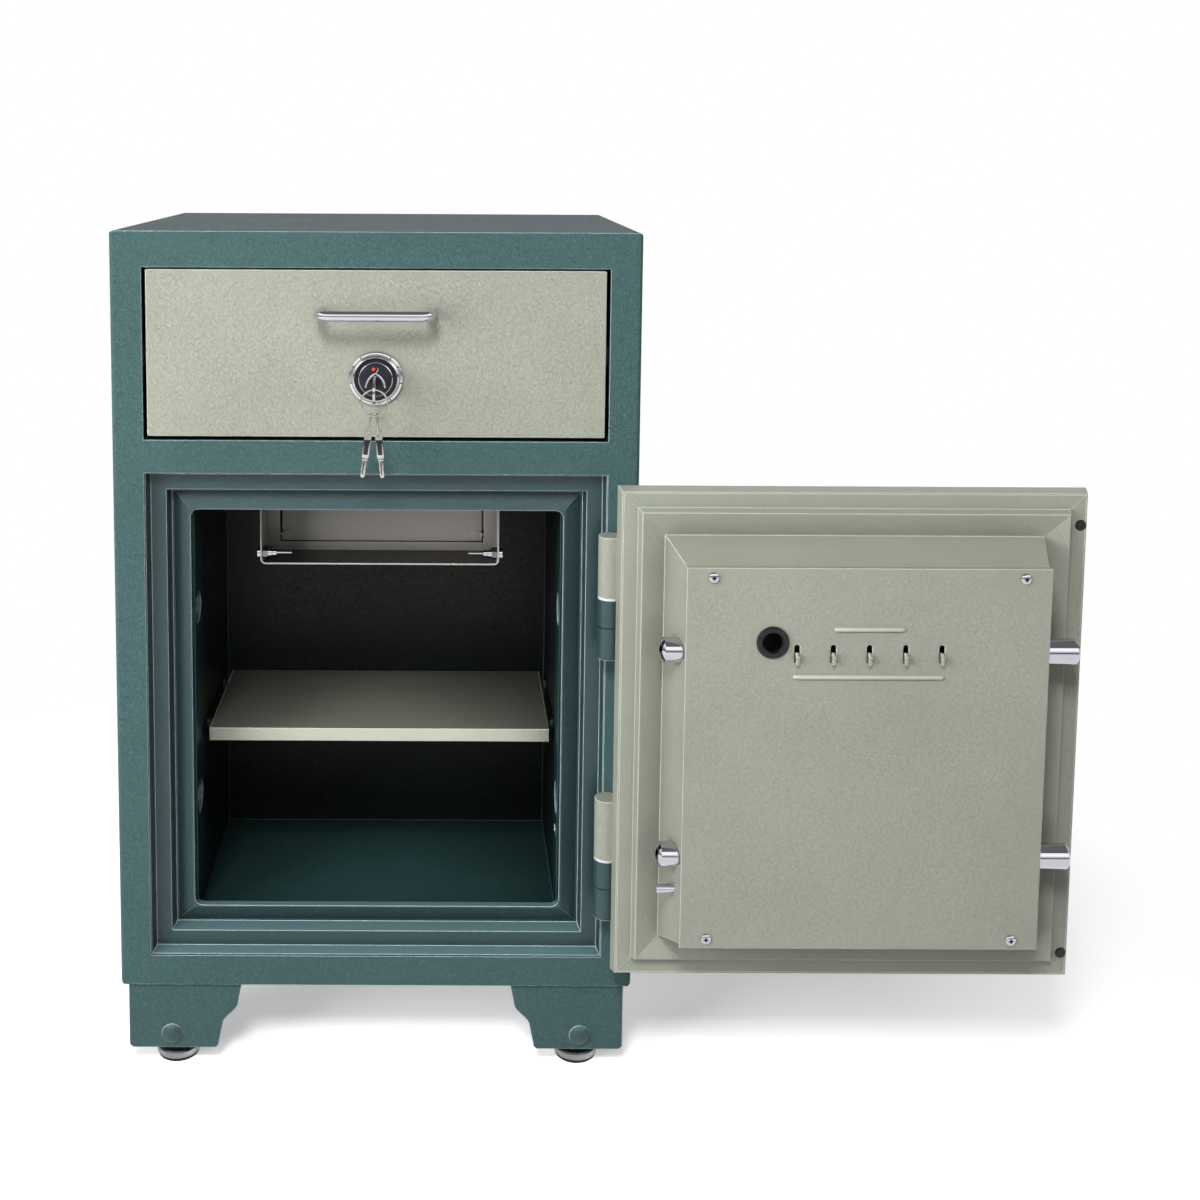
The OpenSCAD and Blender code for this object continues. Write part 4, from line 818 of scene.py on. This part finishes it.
@dataclass
class VaultDoor(Assembly):
    """The swinging door with its cover, bolts, lever and dial."""

    scatter: ScatterTree
    screw_head_mm: float = 5.0
    screw_rise_mm: float = 2.5
    dial_mm: float = 27.0
    flutes: int = 36
    flute_ring_mm: float = 19.0
    seam_from_mm: float = 3.2
    seam_to_mm: float = 17.6
    seam_r_mm: float = 0.4
    slots_beside_mm: float = 87.0
    slots_below_mm: float = 11.0
    tab_rise_mm: float = 4.5
    # Height above the slots and length of each bead
    beads_mm: Profile = ((23.0, 57.0), (-21.0, 129.0))
    bead_r_mm: float = 2.1

    def build(self) -> None:
        """Dresses the door and builds its screws and dial."""
        self.dress(Finish.DOOR, "door_skin", "door_pan", "cover_plate")
        # The door's knuckles take the drawer's enamel, whose weaker painted shade leaves them a little
        # lighter, as a painted highlight
        self.dress(Finish.DRAWER, "door_barrels")
        chrome = ("locking_bolts", "fixed_bolts", "locating_pin", "door_rosette", "door_handle")
        self.dress(Finish.CHROME, *chrome)
        self.dress(Finish.ZINC, "bolt_bushes", "bolt_bar", "handle_crank", "door_lock_case")
        self.dress(Finish.RUBBER, "grommet", "bumpers")
        self.dress(Finish.CONCRETE, "door_fill")
        self._screws()
        self._corner_seams()
        self._beads()
        self._dial()

    def _cover_face(self) -> float:
        """Returns the depth of the cover's face, behind its bent tabs, in metres."""
        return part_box("cover_plate")[0][1] + self.tab_rise_mm * MM

    def _corner_seams(self) -> None:
        """Lays the ground mitre seams across the corners of the slab's flat border."""
        low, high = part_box("door_skin")
        reach = (self.seam_from_mm * MM, self.seam_to_mm * MM)
        seams = []
        for x, sx in ((low[0], 1), (high[0], -1)):
            for z, sz in ((low[2], 1), (high[2], -1)):
                ends = [Vector((x + sx * d, low[1], z + sz * d)) for d in reach]
                seams.append(tube(ends, self.seam_r_mm * MM, sides=8))
        self.add("door_corner_seams", join_shapes(seams), Finish.DOOR, Body.DOOR, "sage_paint")

    def _beads(self) -> None:
        """Rolls the two pressed beads above and below the slots, painted paler than the door as their
        highlight.
        """
        low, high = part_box("grommet")
        middle = (low[0] + high[0]) / 2 + self.slots_beside_mm * MM
        slot = (low[2] + high[2]) / 2 - self.slots_below_mm * MM
        face = self._cover_face()
        # Side, reach past the bead's straight run, and height over the face, from end to end
        run = [(-1, 2.2, -1.4), (-1, 1.2, -0.3), (-1, 0, 0.1), (1, 0, 0.1), (1, 1.2, -0.3), (1, 2.2, -1.4)]
        ridges = []
        for up, length in self.beads_mm:
            line = [
                Vector((middle + side * (length / 2 + d) * MM, face - lift * MM, slot + up * MM))
                for side, d, lift in run
            ]
            ridges.append(tube(line, self.bead_r_mm * MM, sides=20))
        self.add("cover_beads", join_shapes(ridges), Finish.BEAD_HIGHLIGHT, Body.DOOR, "sage_paint")

    def _screws(self) -> None:
        """Makes the four pan-head screws, with black bars on each crown as the painted shade of its cross
        recess.
        """
        low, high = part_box("cover_screws")
        inset = self.screw_head_mm * MM
        places = [
            ((x, self._cover_face(), z), (radians(90), 0.0, 0.0))
            for x in (low[0] + inset, high[0] - inset)
            for z in (low[2] + inset, high[2] - inset)
        ]
        chrome = self.palette.get(Finish.CHROME)
        heads = self.scatter.scatter("cover_screw_heads", self._screw_head(), places, chrome)
        put(heads, Body.DOOR, "chrome", "cover_screws")
        # Two black bars over each crown: painted shade of the cross recess
        crown = Matrix.Translation((0, 0, (self.screw_rise_mm - 0.15) * MM))
        cross = join_shapes([slab((4.4, 0.9, 0.4), crown), slab((0.9, 4.4, 0.4), crown)])
        shade_marks = self.scatter.scatter("cover_screw_crosses", cross, places, self.palette.get(Finish.RUBBER))
        put(shade_marks, Body.DOOR, "chrome")

    def _screw_head(self) -> Shape:
        """Builds one screw head around the origin, its crown towards local Z."""
        r = self.screw_head_mm
        h = self.screw_rise_mm
        shank = [(0.0, -6.0), (2.0, -6.0), (2.0, 0.0), (r, 0.0)]
        rim = [(r * cos(a), 0.6 + (h - 0.6) * sin(a)) for a in (0, 0.35, 0.7, 1.05, 1.3)]
        recess = [(1.5, h), (1.2, h - 1.2), (0.0, h - 1.5)]
        return lathe(shank + rim + recess, Matrix.Identity(4), steps=32)

    def _dial(self) -> None:
        """Makes the outside dial with a fluted grip."""
        low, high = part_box("combo_dial")
        x = (low[0] + high[0]) / 2
        z = (low[2] + high[2]) / 2
        tip = high[1]
        r = self.dial_mm
        profile = [
            (0.0, -35.0), (5.0, -35.0), (5.0, -21.0), (r - 1, -21.0), (r, -20.0), (r, -17.6), (r - 1, -17.0),
            (21.0, -15.2), (19.6, -14.0), (18.6, -2.2), (17.0, -0.5), (15.6, 0.0), (14.4, -0.6), (0.0, -0.8),
        ]
        knob = lathe(profile, facing(x, tip, z, 1), steps=96)
        self.add("dial_knob", knob, Finish.PLASTIC, Body.DIAL, "black_plastic", "combo_dial")
        flute = tube([Vector((0, 0, -1.8 * MM)), Vector((0, 0, -13.4 * MM))], 0.9 * MM, sides=8)
        reach = self.flute_ring_mm * MM
        turns = [2 * pi * i / self.flutes for i in range(self.flutes)]
        places = [((x + reach * cos(t), tip, z + reach * sin(t)), (radians(-90), 0.0, 0.0)) for t in turns]
        grip = self.scatter.scatter("dial_flutes", flute, places, self.palette.get(Finish.PLASTIC))
        put(grip, Body.DIAL, "black_plastic")


@dataclass
class DepositDrawer(Assembly):
    """Drawer front, tray, pull and the cam lock's face."""

    rose_mm: float = 25.8
    face_mm: float = 12.6
    keyway_mm: float = 4.9
    arch_half_mm: float = 9.0
    arch_foot_mm: float = -7.0
    arch_rise_mm: float = 13.2
    tick_degrees: tuple[float, ...] = (-145, -100, -62, -36, 35, 62, 100, 145)

    def build(self) -> None:
        """Dresses the drawer and builds the lock's rosette and turning face."""
        self.dress(Finish.DRAWER, "drawer_front")
        self.dress(Finish.CHUTE, "drawer_box")
        self.dress(Finish.ZINC, "drawer_runners", "handle_screws", "lock_cam", "cam_screw")
        self.dress(Finish.CHROME, "drawer_handle", "lock_case")
        self.dress(Finish.PLASTIC, "lock_plug", "lock_bezel")
        low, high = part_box("lock_rosette")
        z = (low[2] + high[2]) / 2
        self._rosette(facing(0, high[1], z, -1))
        self._turning_face(facing(0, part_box("lock_bezel")[0][1] - 0.1 * MM, z, -1))

    def _rosette(self, place: Matrix) -> None:
        """Turns the chromed rose with its dark groove, ticks and inner ring.

        Args:
            place: Middle of the lock on the drawer's face.
        """
        r = self.rose_mm
        outer = [
            (19.8, 0.05), (r, 0.05), (r, 1.6), (r - 0.5, 2.6), (r - 1.6, 3.4), (r - 2.6, 3.5),
            (r - 3.2, 4.2), (r - 4.4, 6.2), (20.4, 6.8), (19.8, 6.4),
        ]
        groove = [(15.9, 1.2), (20.2, 1.2), (20.2, 3.4), (15.9, 3.8)]
        inner = [(11.2, 0.2), (16.2, 0.2), (16.2, 7.2), (15.8, 7.7), (15.2, 7.9), (14.8, 7.5), (11.2, 7.5)]
        rose = join_shapes([lathe(outer, place), lathe(inner, place)])
        self.add("lock_rose", rose, Finish.SATIN, Body.DRAWER, "chrome", "lock_rosette")
        marks = [lathe(groove, place)]
        rim = Matrix.Translation((0, (r - 2.4) * MM, 3.4 * MM))
        for turn in self.tick_degrees:
            spin = Matrix.Rotation(radians(-turn), 4, "Z")
            marks.append(slab((0.9, 3.4, 0.8), place @ spin @ rim))
        self.add("lock_rose_groove", join_shapes(marks), Finish.PLASTIC, Body.DRAWER, "black_plastic")

    def _turning_face(self, place: Matrix) -> None:
        """Builds the face that turns with the key: a black ring, its pointed arch, index line and red dot.

        Args:
            place: Middle of the bezel's front.
        """
        r = self.face_mm
        hole = self.keyway_mm
        ring = [(hole, 0.0), (r, 0.0), (r, 0.4), (r - 0.4, 0.8), (hole + 0.3, 0.8), (hole, 0.5)]
        self.add("lock_turning_face", lathe(ring, place), Finish.PLASTIC, Body.LOCK, "black_plastic")
        climb = [(-1, i / 12) for i in range(13)] + [(1, 1 - i / 12) for i in range(1, 13)]
        arch = [place @ self._arch_point(side, t) for side, t in climb]
        index = ((2.2, 11.6), (2.6, 9.4), (1.4, 8.0), (0.6, 6.8))
        line = [place @ Vector((x * MM, h * MM, 0.9 * MM)) for x, h in index]
        bright = join_shapes([tube(arch, 1.15 * MM), tube(line, 0.5 * MM, sides=8)])
        self.add("lock_pointer", bright, Finish.SATIN, Body.LOCK, "chrome")
        dome = [(0.0, 0.2), (1.7, 0.2), (1.7, 1.0), (1.3, 1.3), (0.0, 1.4)]
        dot = lathe(dome, place @ Matrix.Translation((-1.6 * MM, 10.2 * MM, 0)), steps=24)
        self.add("lock_index", dot, Finish.LACQUER, Body.LOCK, "black_plastic")

    def _arch_point(self, side: int, t: float) -> Vector:
        """Returns a point of the arch on one side, from its foot at t = 0 to its tip at t = 1."""
        half = self.arch_half_mm * MM * cos(t * pi / 2) ** 0.75
        return Vector((side * half, (self.arch_foot_mm + self.arch_rise_mm * t) * MM, 1.0 * MM))


@dataclass
class KeySet(Assembly):
    """The key in the lock, its ring, links and the two spare keys."""

    wire_mm: float = 0.9
    link_wire_mm: float = 0.85
    link_mm: float = 2.6
    link_length_mm: float = 14.0
    eye_mm: float = 1.8
    eye_overlap_mm: float = 1.2
    thick_mm: float = 2.4
    # Where each spare hangs, in degrees round the ring from its lowest point, and its own lean
    spares: Profile = ((-14, 8), (12, -5))

    def build(self) -> None:
        """Dresses key and ring, and builds the spare keys."""
        self.dress(Finish.NICKEL, "lock_key", "key_ring")
        low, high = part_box("key_ring")
        middle = Vector([(a + b) / 2 for a, b in zip(low, high)])
        reach = (high[0] - low[0]) / 2 - self.wire_mm * MM
        drop = Matrix.Translation((0, 0, -(self.link_mm - self.link_wire_mm - self.wire_mm) * MM))
        bright = []
        shade_marks = []
        for hang, lean in self.spares:
            turn = radians(hang)
            hook = middle + Vector((reach * sin(turn), 0, -reach * cos(turn)))
            place = Matrix.Translation(hook) @ Matrix.Rotation(radians(lean), 4, "Y") @ drop
            bright += self._metal(place)
            shade_marks += self._recess_shades(place)
        self.add("spare_key_set", join_shapes(bright), Finish.NICKEL, Body.RING, "key_steel", "spare_keys")
        self.add("spare_key_insets", join_shapes(shade_marks), Finish.PLASTIC, Body.RING, "black_plastic")

    def _eye_height(self) -> float:
        """Returns the height of a spare key's eye over its link's upper arc, in millimetres."""
        return -self.link_length_mm - self.link_mm + self.eye_overlap_mm - self.eye_mm

    def _metal(self, place: Matrix) -> list[Shape]:
        """Builds one spare's link, head and blade.

        Args:
            place: Centre of the link's upper arc.

        Returns:
            The metal pieces.
        """
        arc = [radians(a) for a in range(0, 181, 15)]
        upper = [Vector((0, self.link_mm * cos(a) * MM, self.link_mm * sin(a) * MM)) for a in arc]
        lower = [Vector((0, -v.y, -v.z - self.link_length_mm * MM)) for v in upper]
        link = tube([place @ v for v in upper + lower], self.link_wire_mm * MM, closed=True)
        eye = place @ Matrix.Translation((0, 0, self._eye_height() * MM))
        head = [(-3.3, -4.0), (3.3, -4.0), (3.3, -20.6), (2.4, -22.2), (-2.4, -22.2), (-3.3, -20.6)]
        blade = [
            (-2.1, -22.0), (2.1, -22.0), (2.1, -31.0), (1.6, -31.8), (2.1, -32.6), (2.1, -38.4), (1.3, -40.2),
            (-1.3, -40.2), (-2.1, -38.4), (-2.1, -35.2), (-1.5, -34.4), (-2.1, -33.6), (-2.1, -27.6),
            (-1.6, -26.8), (-2.1, -26.0),
        ]
        collar = [(-2.7, -21.9), (2.7, -21.9), (2.7, -24.0), (-2.7, -24.0)]
        return [
            link,
            eye_plate(self.eye_mm, 3.3, 3.8, 4.2, self.thick_mm, eye),
            flat_plate(head, self.thick_mm, eye, 0.3),
            flat_plate(blade, self.thick_mm - 0.6, eye, 0.25),
            flat_plate(collar, self.thick_mm + 0.3, eye, 0.25),
        ]

    def _recess_shades(self, place: Matrix) -> list[Shape]:
        """Builds black bars as painted shade in one head's recessed window and in the groove along its blade.
        """
        top = self._eye_height()
        middle = place @ Matrix.Translation((0, 0, (top - 12.4) * MM))
        groove = place @ Matrix.Translation((-0.3 * MM, 0, (top - 31.0) * MM))
        window = [(-2.0, 6.2), (2.0, 6.2), (2.0, -6.2), (-2.0, -6.2)]
        return [
            flat_plate(window, self.thick_mm + 0.24, middle, 0.2),
            slab((1.0, self.thick_mm - 0.5, 12.5), groove),
        ]


@dataclass
class Studio:
    """Floor, lamps, surroundings and the photograph's camera."""

    floor_near: float = 0.55
    floor_far: float = 1.05
    floor_half: float = 14.0
    floor_glow: float = 0.42
    ambient: float = 0.13
    mirror_strength: float = 1.5
    # What bare metal mirrors: height of the look above the horizon, from 0 to 1, and its grey
    mirror_bands: Profile = (
        (0.0, 0.013), (1.0, 0.12), (0.06, 0.013), (0.12, 0.45), (0.28, 0.5), (0.33, 1.0), (0.66, 1.0),
        (0.72, 0.1),
    )
    lens_mm: float = 43.58
    sensor_mm: float = 36.0
    # Where the camera stands, and in degrees how far it looks down, to the right and leans over
    place: Point = (0.0655, -1.3997, 0.8172)
    pitch: float = 5.5
    yaw: float = 0.05
    roll: float = -0.29
    shift: tuple[float, float] = (0.1273, -0.2592)
    # Name, place, target, size in metres and power in watts
    lamps: tuple[tuple[str, Point, Point, float, float], ...] = (
        ("key", (-0.25, -1.8, 2.1), (0.1, -0.05, 0.45), 0.6, 47.0),
        ("left", (-1.9, -1.3, 0.8), (0.2, -0.05, 0.35), 1.6, 60.0),
        ("right", (1.7, -2.7, 0.8), (0.1, 0.0, 0.35), 1.6, 7.0),
    )

    def build(self) -> None:
        """Builds the whole set."""
        self._floor()
        self._world()
        for lamp in self.lamps:
            self._lamp(*lamp)
        self._camera()
        bpy.context.scene.view_settings.view_transform = "Standard"

    def _floor(self) -> None:
        """Lays a plain pale floor that keeps the safe's soft shadow."""
        material, tree, place = new_material("pale_studio_floor")
        path = add_node(tree, "ShaderNodeLightPath")
        eye = path.outputs["Is Camera Ray"]
        either = {0: eye, 1: path.outputs["Is Glossy Ray"]}
        seen = add_node(tree, "ShaderNodeMath", either, operation="MAXIMUM")
        lift = add_node(tree, "ShaderNodeMath", {0: seen, 1: self.floor_glow}, operation="MULTIPLY")
        glow = add_node(tree, "ShaderNodeEmission", {"Color": srgb("#ffffff"), "Strength": lift})
        # The floor throws little light back up, as a floor far below a lamp would
        greys = {"Factor": seen, 6: srgb("#9c9c9c"), 7: srgb("#e4e4e4")}
        shade = add_node(tree, "ShaderNodeMix", greys, data_type="RGBA")
        matt = add_node(tree, "ShaderNodeBsdfDiffuse", {"Color": shade.outputs[2], "Roughness": 1.0})
        both = add_node(tree, "ShaderNodeAddShader", {0: glow, 1: matt})
        # Away from the safe the floor is plain white, so that no horizon shows
        reach = add_node(tree, "ShaderNodeVectorMath", {0: place}, operation="LENGTH").outputs["Value"]
        span = {"From Min": self.floor_near, "From Max": self.floor_far}
        far = add_node(tree, "ShaderNodeMapRange", {"Value": reach, **span})
        plain = add_node(tree, "ShaderNodeMath", {0: far, 1: eye}, operation="MULTIPLY")
        white = add_node(tree, "ShaderNodeEmission", {"Color": srgb("#ffffff")})
        faded = {0: plain, 1: both, 2: white}
        floor = add_node(tree, "ShaderNodeMixShader", faded)
        add_node(tree, "ShaderNodeOutputMaterial", {"Surface": floor})
        shape = bmesh.new()
        bmesh.ops.create_grid(shape, x_segments=1, y_segments=1, size=self.floor_half)
        bmesh.ops.translate(shape, vec=(0, 0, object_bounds()[0][2]), verts=shape.verts)
        mesh_piece("studio_floor", shape, material)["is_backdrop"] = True

    def _world(self) -> None:
        """Surrounds the set with white, and with dark and bright bands for metal to mirror."""
        world = bpy.data.worlds.new("studio")
        bpy.context.scene.world = world
        world.use_nodes = True
        tree = world.node_tree
        tree.nodes.clear()
        path = add_node(tree, "ShaderNodeLightPath")
        way = add_node(tree, "ShaderNodeTexCoord").outputs["Generated"]
        split = add_node(tree, "ShaderNodeSeparateXYZ", {0: way})
        band = add_node(tree, "ShaderNodeValToRGB", {"Fac": split.outputs["Z"]})
        ramp = band.color_ramp
        for i, (height, grey) in enumerate(self.mirror_bands):
            stop = ramp.elements[i] if i < 2 else ramp.elements.new(height)
            stop.position = height
            stop.color = (grey, grey, grey, 1.0)
        bands = {"Color": band.outputs["Color"], "Strength": self.mirror_strength}
        mirror = add_node(tree, "ShaderNodeBackground", bands)
        plain = {"Color": srgb("#f4f6f8"), "Strength": self.ambient}
        around = add_node(tree, "ShaderNodeBackground", plain)
        white = add_node(tree, "ShaderNodeBackground", {"Color": srgb("#ffffff")})
        shiny = {0: path.outputs["Is Glossy Ray"], 1: around, 2: mirror}
        glossy = add_node(tree, "ShaderNodeMixShader", shiny)
        seen = {0: path.outputs["Is Camera Ray"], 1: glossy, 2: white}
        whole = add_node(tree, "ShaderNodeMixShader", seen)
        add_node(tree, "ShaderNodeOutputWorld", {"Surface": whole})

    def _lamp(self, name: str, spot: Point, target: Point, size: float, power: float) -> None:
        """Hangs one soft square lamp, which shiny surfaces don't show.

        Args:
            name: Name of the lamp.
            spot: Where it hangs.
            target: What it points at.
            size: Side of its face, in metres.
            power: Power in watts.
        """
        data = bpy.data.lights.new(name, "AREA")
        data.shape = "SQUARE"
        data.size = size
        data.energy = power
        lamp = new_object(name, data)
        lamp.location = spot
        lamp.visible_glossy = False
        lamp.rotation_euler = (Vector(target) - Vector(spot)).to_track_quat("-Z", "Y").to_euler()

    def _camera(self) -> None:
        """Sets the camera up at the photograph's place."""
        place = Matrix.Translation(self.place)
        for degrees, axis in ((-self.yaw, "Z"), (90 - self.pitch, "X"), (-self.roll, "Z")):
            place = place @ Matrix.Rotation(radians(degrees), 4, axis)
        data = bpy.data.cameras.new("photo_camera")
        data.lens = self.lens_mm
        data.sensor_width = self.sensor_mm
        data.sensor_fit = "HORIZONTAL"
        data.shift_x, data.shift_y = self.shift
        data.clip_start = 0.05
        camera = new_object("photo_camera", data)
        camera.matrix_world = place
        bpy.context.scene.camera = camera


def main() -> None:
    logging.basicConfig(level=logging.INFO, format="%(name)s: %(message)s")
    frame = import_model()
    nodes = frame["nodes"]
    palette = Palette()
    groups = (
        Cabinet(palette, nodes),
        DropChute(palette, nodes),
        VaultDoor(palette, nodes, ScatterTree()),
        DepositDrawer(palette, nodes),
        KeySet(palette, nodes),
        Studio(),
    )
    for group in groups:
        group.build()
        LOG.info("%s done", type(group).__name__)


if __name__ == "__main__":
    main()
